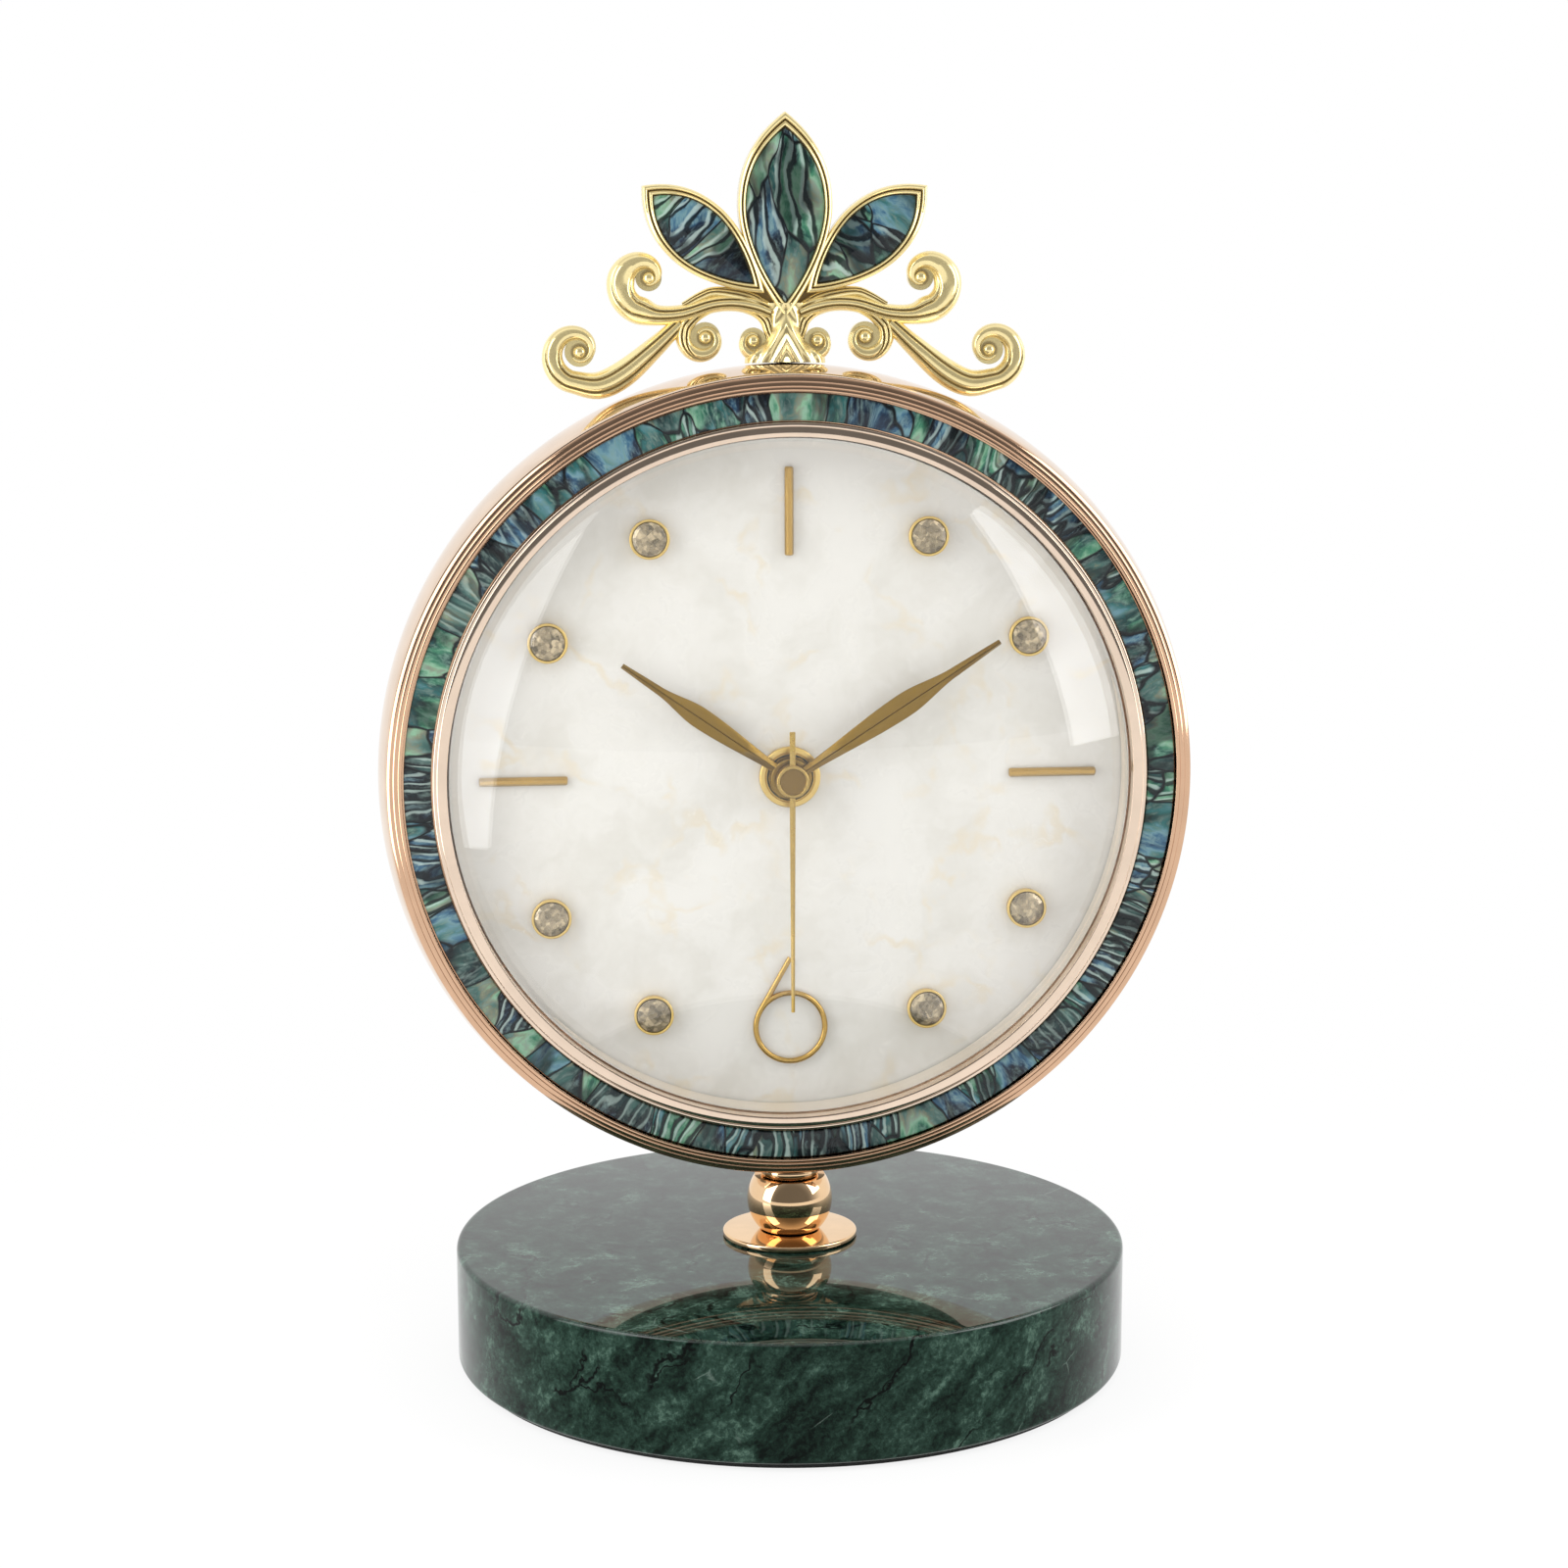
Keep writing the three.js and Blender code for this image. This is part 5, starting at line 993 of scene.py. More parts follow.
class ClockRear(bpy.types.Operator):
    """Rear cover with its screws, movement, battery and setting knob"""
    bl_idname = "clock.rear"
    bl_label = "Build Rear"

    def execute(self, context):
        s = in_mm(context.scene.clock_rear)
        tones = context.scene.clock_colours
        steel = Finishes(tones).steel
        dark = plastic("Housing plastic", tones.plastic)
        white = plastic("Wheel plastic", tones.wheel, grain=5.0)
        self.cover(s, plastic("Black cover", tones.cover, grain=6.0, metallic=0.2))
        for number in (1, 2, 3):
            self.screw(s, number, steel)
        self.knob(s, dark)
        self.battery(sleeve(tones.cell, tones.copper))
        dress(dark, "movement_housing", "movement_cover")
        dress(white, *(f"{name}_wheel" for name in ("hour", "minute", "centre", "third", "second", "fifth")))
        dress(plastic("Rotor magnet", tones.cover, grain=4.0, metallic=0.6), "rotor")
        dress(plastic("Circuit board", tones.board, grain=2.0), "circuit_board")
        dress(metal("Copper coil", tones.copper, 0.3, 0.1), "drive_coil")
        dress(steel, "minute_arbor", "crown_screw")
        return {"FINISHED"}

    @staticmethod
    def cover(s, material):
        """From the window, a rectangle seen in polar angles, out to the round edge. The section's steps are
        (0 at the window or 1 at the edge, way out, depth)."""
        front, back = span("rear_cover", DEEP)
        left, right = np.add(span("movement_housing", ACROSS), (-s.window_gap, s.window_gap))
        low, high = np.add(span("movement_housing", UP), (-s.window_gap - CENTRE, s.window_gap - CENTRE))
        corners = np.array([(right, high), (right, low), (left, low), (left, high)])
        marks = np.arctan2(corners[:, 0], corners[:, 1])
        a = np.unique(np.concatenate([around(256) - np.pi, marks]))
        x, z = np.sin(a), np.cos(a)
        window = 1 / np.maximum(np.maximum(x / right, x / left), np.maximum(z / high, z / low))
        edge = 0.4
        steps = np.array([
            (0, 0, front), (0, 0.15, back - 0.3), (0, edge, back),
            (1, -edge, back), (1, 0, back - edge), (1, 0, front)])
        across, out, depth = steps.T
        r = window[:, None] * (1 - across) + radius("rear_cover") * across + out
        points = np.stack([x[:, None] * r, np.broadcast_to(depth, r.shape), z[:, None] * r + CENTRE], -1)
        skin = Skin().grid(points, loop_rows=True)
        skin.build("rear_cover_plate", material, "black_cover", "rear_cover", sharp=30)

    @staticmethod
    def screw(s, number, material):
        """A domed head, whose face falls back as the square of the radius, with a slot sunk along one width,
        and a plain shank."""
        node = f"rear_cover_screw_{number}"
        back, wide = span(node, DEEP)[1], radius(node)
        at = (middle(node, ACROSS), 0, middle(node, UP))
        share = np.linspace(0, 0.96, 14)
        crown, edge, slot_deep, slot_half, slot_end = 0.35, 0.5, 0.6, (0.28, 0.42), 0.9
        under = back - s.screw_height
        r = np.append(share, [1, 1]) * wide
        head = turned(np.stack([r, np.append(back - crown * share ** 2, [back - edge, under])], -1), 96, "Y")
        slot = slot_deep * (1 - smooth(np.abs(head[..., 0]), *slot_half)) * (r < slot_end * wide)
        head[..., 1] -= slot
        thread, thread_end, tip = 1.2, back - 8.9, back - 9.1
        shank = turned([(0, under), (thread, under), (thread, thread_end), (0, tip)], 24, "Y")
        skin = Skin()
        for part in (head, shank):
            skin.grid(part + at, loop_rows=True, loop_columns=False)
        skin.build(f"cover_screw_{number}", material, "steel", node)

    @staticmethod
    def knob(s, material):
        """A shaft with a round grip, dimpled at its end. A cosine round the grip cuts its flutes."""
        front, back = span("set_knob", DEEP)
        wide, start = radius("set_knob"), back - s.knob_height
        shaft, dimple, dimple_floor = 1.0, (1.6, 1.4), back - 0.7
        profile = rounded([
            (shaft, start, 0), (wide, start, 0.2), (wide, back, 0.5), (dimple[0], back, 0.3),
            (dimple[1], dimple_floor, 0.2), (PIN, dimple_floor, 0), (PIN, front, 0), (shaft, front, 0)])
        flutes, flute_share, flute_from = 28, 0.05, (3.6, 4.1)
        sides = 12 * flutes
        wave = 0.5 + 0.5 * np.cos(flutes * around(sides)[:, None])
        grip = turned(profile, sides, "Y")
        grip[..., [ACROSS, UP]] *= (1 - flute_share * wave * smooth(profile[:, 0], *flute_from))[..., None]
        at = (middle("set_knob", ACROSS), 0, CENTRE)
        skin = Skin().grid(grip + at, loop_rows=True)
        skin.build("set_knob_fluted", material, "dark_plastic", "set_knob", body="setting_train")

    @staticmethod
    def battery(material):
        """A cell that lies across: flat end, shoulder, sleeve, shoulder and raised end."""
        left, right = span("battery", ACROSS)
        low, high = span("battery", UP)
        wide, at = (high - low) / 2, (0, middle("battery", DEEP), (low + high) / 2)
        flat, raised = (4.6, 5.0), (2.9, 2.75)
        profile = rounded([
            (PIN, left, 0), (flat[0], left, 0.2), (flat[1], left + 0.4, 0.2), (wide, left + 0.5, 0.5),
            (wide, right - 1.6, 0.7), (raised[0], right - 1.7, 0.2), (raised[1], right, 0.4),
            (PIN, right, 0)])
        lathe("battery_cell", profile, 96, "X", at, material, "cell", "battery")


# Dial

def tube(path, girth, depth, sides=20):
    """A round wire along a path (x, z) at one depth: each point carries a circle across the path."""
    along = directions(path)
    a = around(sides)
    across = girth * np.cos(a)
    depths = np.broadcast_to(depth - girth * np.sin(a), (len(path), sides))
    return np.stack([path[:, :1] - along[:, 1:] * across, depths, path[:, 1:] + along[:, :1] * across], -1)


class ClockDial(bpy.types.Operator):
    """Dial plate, hour bars and the six"""
    bl_idname = "clock.dial"
    bl_label = "Build Dial"

    def execute(self, context):
        s = in_mm(context.scene.clock_dial)
        tones = context.scene.clock_colours
        trim = Finishes(tones).trim
        front, back = span("dial_plate", DEEP)
        wide = radius("dial_plate")
        hole = s.dial_hole
        dial = rounded([(hole, front, 0.1), (wide, front, 0.3), (wide, back, 0.2), (hole, back, 0)])
        lathe("dial_face", dial, BASE_SIDES, "Y", DIAL_AXIS, pearl(tones), "pearl", "dial_plate")
        bar = self.bar(s)
        for hour in (12, 3, 9):
            skin = Skin().grid(clockwise(bar, 30 * hour, CENTRE), caps=True)
            skin.build(f"hour_bar_{hour}", trim, "satin_gold", f"index_bar_{hour}")
        self.six(s, trim)
        return {"FINISHED"}

    @staticmethod
    def bar(s):
        """A block with bevelled edges, at twelve: its section shrinks to a share at each end."""
        front, back = span("index_bar_12", DEEP)
        bevel = 0.15 * s.bar_width
        near, end_share = s.bar_far - s.bar_length, 0.75
        along = np.array([near, near + bevel, s.bar_far - bevel, s.bar_far])
        girth = np.array([end_share, 1, 1, end_share])
        across = np.array([-1, -1, -0.35, 0.35, 1, 1]) * s.bar_width / 2
        rise = np.array([0, 0.5, 1, 1, 0.5, 0]) * (back - front)
        return loft(across, np.outer(girth, rise), girth, along, back)

    @staticmethod
    def six(s, material):
        """One wire: straight from its tip to where it touches the ring, then nearly once round."""
        touch = math.pi / 2 + math.acos(s.six_radius / s.six_rise)
        a = touch + np.linspace(0, TURN * 0.995, 96)
        ring = np.stack([s.six_radius * np.cos(a), s.six_radius * np.sin(a)], -1)
        tip = np.array([0, s.six_rise])
        tail = tip + (ring[0] - tip) * np.linspace(0, 1, 12, endpoint=False)[:, None]
        back = span("index_bar_12", DEEP)[1]
        wire = tube(np.vstack([tail, ring]), s.six_wire / 2, back - s.six_wire / 2)
        wire[..., UP] += CENTRE - s.six_drop
        Skin().grid(wire, caps=True).build("six_wire", material, "satin_gold", "index_ring_6")


class ClockStuds(bpy.types.Operator):
    """Eight stones in their cups"""
    bl_idname = "clock.studs"
    bl_label = "Build Studs"

    def execute(self, context):
        s = in_mm(context.scene.clock_dial)
        tones = context.scene.clock_colours
        cup, cut = self.cup(), self.cut()
        metal_of_cups, gem = Finishes(tones).nut, brilliant(tones.stone)
        for hour in (1, 2, 4, 5, 7, 8, 10, 11):
            a = math.radians(30 * hour)
            at = (s.stud_circle * math.sin(a), 0, CENTRE + s.stud_circle * math.cos(a))
            lathe(f"stud_setting_{hour}", cup, 64, "Y", at, metal_of_cups, "satin_gold", f"stud_cup_{hour}")
            skin = Skin().grid(clockwise(cut, 17 * hour, 0) + at)
            skin.build(f"stud_gem_{hour}", gem, "rhinestone", f"stud_stone_{hour}", sharp=5)
        return {"FINISHED"}

    @staticmethod
    def cup():
        """Section of a cup whose wall leans out a little and ends in a round lip."""
        front, back = span("stud_cup_1", DEEP)
        wide = radius("stud_cup_1")
        inner, floor, lean, lip = wide - 0.5, back - 0.6, 0.15, 0.22
        return rounded([
            (PIN, back, 0), (wide - lean, back, 0.1), (wide, front, lip), (inner, front, lip),
            (inner, floor, 0.1), (PIN, floor, 0)], 6)

    @staticmethod
    def cut():
        """A stone with sixteen sides: rings round its axis as (share of the radius, depth), of which every
        other corner of the sloping one is sunk."""
        front, back = span("stud_stone_1", DEEP)
        table, girdle, sunk = 0.58, back - 1.0, 0.15
        slope = (front + girdle) / 2 - 0.1
        rings = ((0.001, front), (table, front), (0.8, slope), (1.0, girdle), (1.0, back), (0.001, back))
        share, depth = np.array(rings).T[:, :, None]
        corner = np.arange(16)
        a = corner * TURN / len(corner)
        r = share * radius("stud_stone_1")
        return np.stack([r * np.sin(a), depth + sunk * (corner % 2) * (depth == slope), r * np.cos(a)], -1)


# Hands

def blade(reach, width, front, back):
    """A lance: its half width swells from the root to the widest place, draws in to a neck and tapers to the
    tip. Across, its back is flat and its front is a roof with a fine line sunk along the ridge. Its mask
    shades the line and the edges."""
    start, widest, neck = 2.9, 0.545 * reach, 0.79 * reach
    root, full, slim, tip = 0.7, width / 2, 0.40 * width / 2, 0.45
    along = np.linspace(start, reach, 90)
    swell = root + (full - root) * smooth(along, start - 3, widest)
    drawn = full + (slim - full) * smooth(along, widest, neck)
    taper = slim + (tip - slim) * np.clip((along - neck) / (reach - neck), 0, 1)
    girth = np.where(along < widest, swell, np.where(along < neck, drawn, taper))
    across = np.array([-1, -1, -0.92, -0.13, -0.05, 0, 0.05, 0.13, 0.92, 1, 1])
    rise = np.array([0, 0.3, 0.42, 1, 0.97, 0.72, 0.97, 1, 0.42, 0.3, 0]) * (back - front)
    mask = np.array([0, 0.2, 0, 0, 0.5, 1, 0.5, 0, 0, 0.2, 0])
    line = np.clip(0.16 / girth, 0.05, 0.3) / 0.13
    spread = across * np.where(np.abs(across) < 0.2, line[:, None], 1)
    return loft(spread, rise, girth, along, back), mask


class ClockHands(bpy.types.Operator):
    """Hour, minute and second hands, and the dial nut"""
    bl_idname = "clock.hands"
    bl_label = "Build Hands"

    def execute(self, context):
        s = in_mm(context.scene.clock_hands)
        metals = Finishes(context.scene.clock_colours)
        for name in ("hour", "minute"):
            parts = (getattr(s, f"{name}_{part}") for part in ("length", "width", "bore", "boss"))
            self.lance(name, *parts, metals.satin)
        self.needle(s, metals.needle)
        self.nut(s, metals.nut)
        dress(metals.satin, "dial_bush")
        return {"FINISHED"}

    @staticmethod
    def lance(name, reach, width, bore, boss, material):
        """A blade and the round boss that carries it, which stands a little proud behind."""
        front, back = span(f"{name}_hand", DEEP)
        proud = 0.05
        points, mask = blade(reach, width, front, back - proud)
        skin = Skin().grid(clockwise(points, HAND_ANGLES[name], CENTRE), caps=True, mask=mask)
        profile = rounded([(bore, back, 0), (boss, back, 0.1), (boss, front, 0.25), (bore, front, 0.1)])
        skin.grid(turned(profile, 72, "Y", DIAL_AXIS), loop_rows=True)
        skin.build(f"{name}_hand_lance", material, "satin_gold", f"{name}_hand", body=f"{name}_train")

    @staticmethod
    def needle(s, material):
        """A bar with a low ridge that narrows to its tip, and a cap whose raised lip rings a shaded face."""
        front, back = span("second_hand", DEEP)
        ridge, narrowing = 0.5, 0.35
        along = np.linspace(-s.second_tail, s.second_length, 40)
        girth = s.second_width / 2 * (1 - narrowing * smooth(along, 0, s.second_length))
        across = np.array([-1, -1, 0, 1, 1])
        rise = np.array([0, 0.55, 1, 0.55, 0]) * ridge
        bar = loft(across, rise, girth, along, back)
        lip, face, face_edge, shade_from = s.cap_radius - 0.55, front + 0.35, front + 0.4, front + 0.2
        cap = rounded([
            (PIN, back, 0), (s.cap_radius, back, 0.1), (s.cap_radius, front, 0.3), (lip, front, 0.15),
            (lip - 0.1, face_edge, 0.1), (PIN, face, 0)])
        shade = np.where((cap[:, 1] > shade_from) & (cap[:, 0] < lip), 0.75, 0.0)
        skin = Skin().grid(clockwise(bar, HAND_ANGLES["second"], CENTRE), caps=True)
        skin.grid(turned(cap, 72, "Y", DIAL_AXIS), loop_rows=True, mask=shade)
        skin.build("second_hand_needle", material, "satin_gold", "second_hand", body="second_train")

    @staticmethod
    def nut(s, material):
        """A flat ring with one fine line turned into its face."""
        front, back = span("dial_nut", DEEP)
        wide = radius("dial_nut")
        line, half_line, sunk, fine = wide - 1.1, 0.12, 0.25, 0.05
        profile = rounded([
            (s.nut_bore, back, 0), (wide, back, 0.15), (wide, front, 0.35), (line + half_line, front, fine),
            (line, front + sunk, fine), (line - half_line, front, fine), (s.nut_bore, front, 0.1)])
        lathe("dial_nut_ring", profile, 96, "Y", DIAL_AXIS, material, "satin_gold", "dial_nut")


# Crown

# Right-hand scrolls of the crown, in millimetres from the top of the case. A lead runs through stations
# (across, height, width), and the band then curls about its eye from one angle to another, while its radius
# shrinks between two sizes. In the curl its width is a share of the radius, up to a limit. Its two lines lie
# at places across it, from -1 to 1, at its start and in its curl, where they fade by a share. A dish of the
# web's radius closes the curl.
SCROLLS = (
    {"lead": ((2.6, 8.9, 2.9), (5.2, 9.9, 3.3), (9.0, 10.5, 3.0), (13.0, 10.2, 3.0), (18.0, 8.7, 3.2),
              (22.4, 8.4, 3.6)),
     "eye": (24.1, 14.9), "sweep": (-80, 290), "radii": (5.9, 1.0), "fullness": 1.03, "limit": 4.9,
     "lines": ((-0.3, -0.68), (0.42, 0.74)), "fade": 0.7, "web": 2.3},
    {"lead": ((18.6, 7.0, 2.6), (23.0, 2.9, 3.7), (28.5, -1.7, 4.8), (33.0, -3.8, 4.8)),
     "eye": (36.4, 2.1), "sweep": (-80, 320), "radii": (5.4, 1.4), "fullness": 0.76, "limit": 4.4,
     "lines": ((-0.45, -0.8), (0.45, 0.76)), "fade": 0.7, "web": 2.6},
    {"lead": ((9.1, 9.8, 1.5), (12.4, 9.8, 1.8), (15.4, 8.6, 2.2)),
     "eye": (14.2, 4.5), "sweep": (38, -330), "radii": (4.0, 1.4), "fullness": 0.82, "limit": 2.7,
     "lines": ((0.2, 0.6), (-0.4, 0.55)), "fade": 0.5, "web": 2.7},
    {"lead": ((7.6, 9.7, 1.7), (5.2, 9.0, 2.1), (3.4, 7.6, 2.4)),
     "eye": (5.7, 3.9), "sweep": (150, 490), "radii": (3.5, 1.2), "fullness": 0.82, "limit": 2.3,
     "lines": ((-0.2, -0.6), (0.4, -0.5)), "fade": 0.5, "web": 2.3},
)

# Right-hand fin that carries a side leaf: a lead without a curl
FIN = {
    "lead": ((3.3, 9.8, 2.2), (6.0, 11.2, 2.4), (9.0, 12.0, 2.3), (12.6, 12.4, 1.9), (15.0, 11.6, 1.8),
             (18.0, 10.0, 1.4)),
    "lines": ((0.1, 0.1), (0.6, 0.6)), "fade": 0}

# Half widths and half depths of the crown's stem at even steps above its foot
STEM_HALF_WIDTHS = (5.0, 3.5, 2.9, 2.8, 3.0, 3.6, 4.2)
STEM_HALF_DEPTHS = (3.35, 3.3, 3.2, 2.8, 2.3, 2.0, 1.9)

# Face of a leaf setting's rim as (share of its width, depth, shade): a broad outer bead, a line, a narrow
# inner bead, then the wall down to the pocket's floor
POCKET = 1.5
# The shade column is painted shade: it darkens the line between the beads, the inner bead's inner edge and
# the pocket's wall, and the settings add the pocket's floor
LEAF_FACE = (
    (0, 0.75, 0), (0.04, 0.38, 0), (0.14, 0.1, 0), (0.27, 0, 0), (0.40, 0.1, 0), (0.50, 0.38, 0.3),
    (0.55, 0.75, 1), (0.61, 0.75, 1),
    (0.65, 0.42, 0.3), (0.72, 0.2, 0), (0.82, 0.14, 0), (0.92, 0.24, 0), (1, 0.5, 0.2), (1, POCKET, 1))

# Left and right halves of the crown mirror each other
SIDES = (1, -1)


def scroll_path(shape):
    """A band's path: its lead, then a spiral whose radius falls in equal ratios along a soft step."""
    lead = np.array(shape["lead"])
    if "eye" not in shape:
        return through(lead, 64)
    share = np.linspace(0, 1, 20)
    start, end = np.radians(shape["sweep"])
    outer, inner = shape["radii"]
    r = outer * (inner / outer) ** smooth(share, 0, 1)
    a = start + (end - start) * share
    x, z = shape["eye"]
    width = np.minimum(shape["limit"], shape["fullness"] * r)
    curl = np.stack([x + r * np.cos(a), z + r * np.sin(a), width], -1)
    return through(np.vstack([lead, curl]), 144)


def scroll(shape, s):
    """A band along its path. Across, t runs from one edge to the other: the front is domed as the root of
    1 - |t|^2.3, less two narrow bell-shaped lines whose places slide along the band and which fade in its
    curl, and the back is a flatter dome. Its mask shades the lines."""
    path = scroll_path(shape)
    along = directions(path[:, :2])
    width = path[:, 2:]
    front = np.cos(np.linspace(0, np.pi, 45))
    back = np.cos(np.linspace(np.pi, TURN, 15))[1:-1]
    t = np.concatenate([front, back])
    side = np.where(np.arange(len(t)) < len(front), 1, -0.8)
    dome = np.sqrt(np.clip(1 - np.abs(t) ** 2.3, 0, 1)) * side
    share = smooth(np.linspace(0, 1, len(path)), 0.2, 0.45)[:, None]
    rise = np.minimum(s.relief, 0.62 * width ** 0.9 + 0.25)
    bells = 0
    for start, curl in shape["lines"]:
        bell = np.exp(-((t - (start + (curl - start) * share)) / (0.07 + 0.1 / width)) ** 2)
        bells = bells + np.where(dome > 0, bell, 0)
    lines = np.clip(bells, 0, 1) * (1 - shape["fade"] * share)
    lift = rise * dome - np.minimum(s.groove, 0.22 * width) * lines * np.clip(dome, 0, 1)
    x = path[:, :1] - along[:, 1:] * t * width / 2
    z = path[:, 1:2] + along[:, :1] * t * width / 2
    return np.stack([x, s.plane - lift, z + CASE_TOP], -1), lines * 0.85


def leaf_outline(long, wide, start, count=48):
    """A leaf's outline, up its right side and down its left: each quarter is a cubic with an upright end at
    the fullest place, a little above the middle."""
    full, top = start + 0.55 * long, start + long
    below, above = full - start, top - full
    t = np.linspace(0, 1, count)[:, None]
    weights = np.hstack([(1 - t) ** 3, 3 * t * (1 - t) ** 2, 3 * t ** 2 * (1 - t), t ** 3])
    rising = weights @ np.array(
        [(0, start), (wide / 2, start + below / 4), (wide, full - below / 3), (wide, full)])
    closing = weights @ np.array(
        [(wide, full), (wide, full + above / 2), (wide / 2, top - above / 5), (0, top)])
    right = np.vstack([rising, closing[1:]])
    left = right[::-1] * (-1, 1)
    return np.vstack([right, left[1:-1]])


def leaf_rings(long, wide, insets):
    """The leaf's outline again and again, each drawn in by its inset, and nearly twice that at the tips."""
    tips = np.minimum(1.87 * insets, 0.45 * long)
    return np.stack(
        [leaf_outline(long - 2 * tip, wide - inset, tip) for inset, tip in zip(insets, tips)], 1)


def leaf_place(rings, depths, leaf, s):
    """Puts a leaf's rings at their depths, then turns the leaf and sets its lower tip on the crown."""
    across, low, turn = leaf
    x, z = rings[..., 0], rings[..., 1]
    flat = np.stack([x, np.broadcast_to(s.plane + np.asarray(depths), x.shape), z], -1)
    return clockwise(flat, turn, low + CASE_TOP) + (across, 0, 0)


def leaves(s):
    """The three leaves as ((across, height, turn), length, half width)."""
    right, left = (
        ((side * s.side_across, s.side_low, side * SIDE_LEAF_TURN), s.side_length, s.side_half)
        for side in SIDES)
    return left, ((0, s.leaf_low, 0), s.leaf_length, s.leaf_half), right


class ClockCrown(bpy.types.Operator):
    """Cast crown of scrolls, stem and three leaf settings"""
    bl_idname = "clock.crown"
    bl_label = "Build Crown"

    def execute(self, context):
        s = in_mm(context.scene.clock_crown)
        skin = Skin()
        for shape in (*SCROLLS, FIN):
            points, mask = scroll(shape, s)
            for side in SIDES:
                skin.grid(points * (side, 1, 1), caps=True, mask=mask)
        for shape in SCROLLS:
            self.eye(skin, s, shape)
        self.stem(skin, s, in_mm(context.scene.clock_case))
        self.web(skin, s)
        self.settings(skin, s)
        cast = Finishes(context.scene.clock_colours).yellow
        skin.build("crown_cast", cast, "yellow_gold", "crown_casting", sharp=50)
        return {"FINISHED"}

    @staticmethod
    def eye(skin, s, shape):
        """Inside a curl lies a shallow dish with a bead, half a ball, at its eye. A bell round the bead
        shades it."""
        floor, back = s.plane - 0.7, s.plane + 1
        r = np.linspace(shape["web"], 0, 24)
        bead = s.bead * np.sqrt(np.clip(1 - (r / s.bead) ** 2, 0, 1))
        dish = np.vstack([[(PIN, back), (r[0], back)], np.stack([r, floor - bead], -1)])
        shade = np.append([0, 0], 0.7 * np.exp(-((r - s.bead - 0.2) / 0.3) ** 2))
        x, z = shape["eye"]
        points = turned(dish, 40, "Y", (x, 0, z + CASE_TOP))
        for side in SIDES:
            skin.grid(points * (side, 1, 1), loop_rows=True, loop_columns=False, mask=shade)

    @staticmethod
    def stem(skin, s, case):
        """The stem from the case to the scrolls: an oval whose half widths change with height. Leafy ribs
        stand on its front, a cosine across, bent into chevrons by height, and its lowest ring follows the
        drum."""
        count = 40
        share = np.linspace(0, 1, count)[:, None]
        widths = (s.foot_half, 0.96 * s.foot_half, *STEM_HALF_WIDTHS)
        depths = (s.foot_deep, s.foot_deep, *STEM_HALF_DEPTHS)
        wide, deep = through(np.array([widths, depths]).T, count).T
        a = around(120)
        across, out = np.sin(a), np.cos(a)
        front = smooth(-out, 0.1, 0.6)
        x = np.outer(wide, across)
        pitch, chevron, height, lobe = 2.9, 5.5, 0.16, 0.5
        ribs = 0.5 + 0.5 * np.cos(pitch * np.abs(x) + chevron * share * TURN / 2)
        y = s.plane + np.outer(deep, out) * (1 + height * (ribs - 0.5) * front)
        low = np.sqrt((drum_radius_at(case, y) + GAP) ** 2 - x ** 2) + CENTRE
        lobes = lobe * np.cos(3 * across * np.pi) * (1 - smooth(share, 0, 0.25))
        z = low + (CASE_TOP + s.stem_top - low) * share + lobes * share
        # Painted shade: the mask darkens the troughs between the ribs on the stem's front
        mask = np.clip((0.35 - ribs) * 2.4, 0, 1) * front * smooth(share, 0.1, 0.3)
        skin.grid(np.stack([x, y, z], -1), caps=True, mask=mask * 0.5)

    @staticmethod
    def web(skin, s):
        """The plate behind the leaves' feet: its lower and upper edges are two straight flights that meet in
        the middle."""
        half, low_rise, low_slope, high_rise, high_slope = 6.5, 0.8, 0.55, 6.5, 0.19
        x = np.linspace(-half, half, 31)
        low = s.leaf_low + low_rise + low_slope * np.abs(x)
        high = s.side_low + high_rise - high_slope * np.abs(x)
        front, back = s.plane + 0.1, s.plane + s.leaf_deep - 0.4
        z = np.stack([low, high, high, low], 1) + CASE_TOP
        y = np.broadcast_to([front, front, back, back], z.shape)
        points = np.stack([np.broadcast_to(x[:, None], z.shape), y, z], -1)
        # Painted shade: the web's front takes the dark shadow tone, in the recess between the leaves' feet
        skin.grid(points, caps=True, mask=np.array([0.9, 0.9, 0, 0]))

    @staticmethod
    def settings(skin, s):
        """Each setting's section, as (inset, depth, shade), runs from the leaf's middle line over its back,
        round its rim and back to the middle line on the pocket's floor."""
        deep, most = s.leaf_deep, s.leaf_half
        back = [(most, deep, 0), (0.5, deep, 0), (0.12, deep - 0.12, 0), (0, deep - 0.5, 0)]
        face = np.array(LEAF_FACE) * (s.leaf_rim, 1, 1) - (0, deep, 0)
        inset, depth, shade = np.vstack([back, face, [(most, POCKET - deep, 1)]]).T
        for leaf, long, wide in leaves(s):
            rings = leaf_rings(long, wide, np.minimum(inset, wide - PIN))
            skin.grid(leaf_place(rings, depth, leaf, s), loop_rows=True, loop_columns=False, mask=shade)


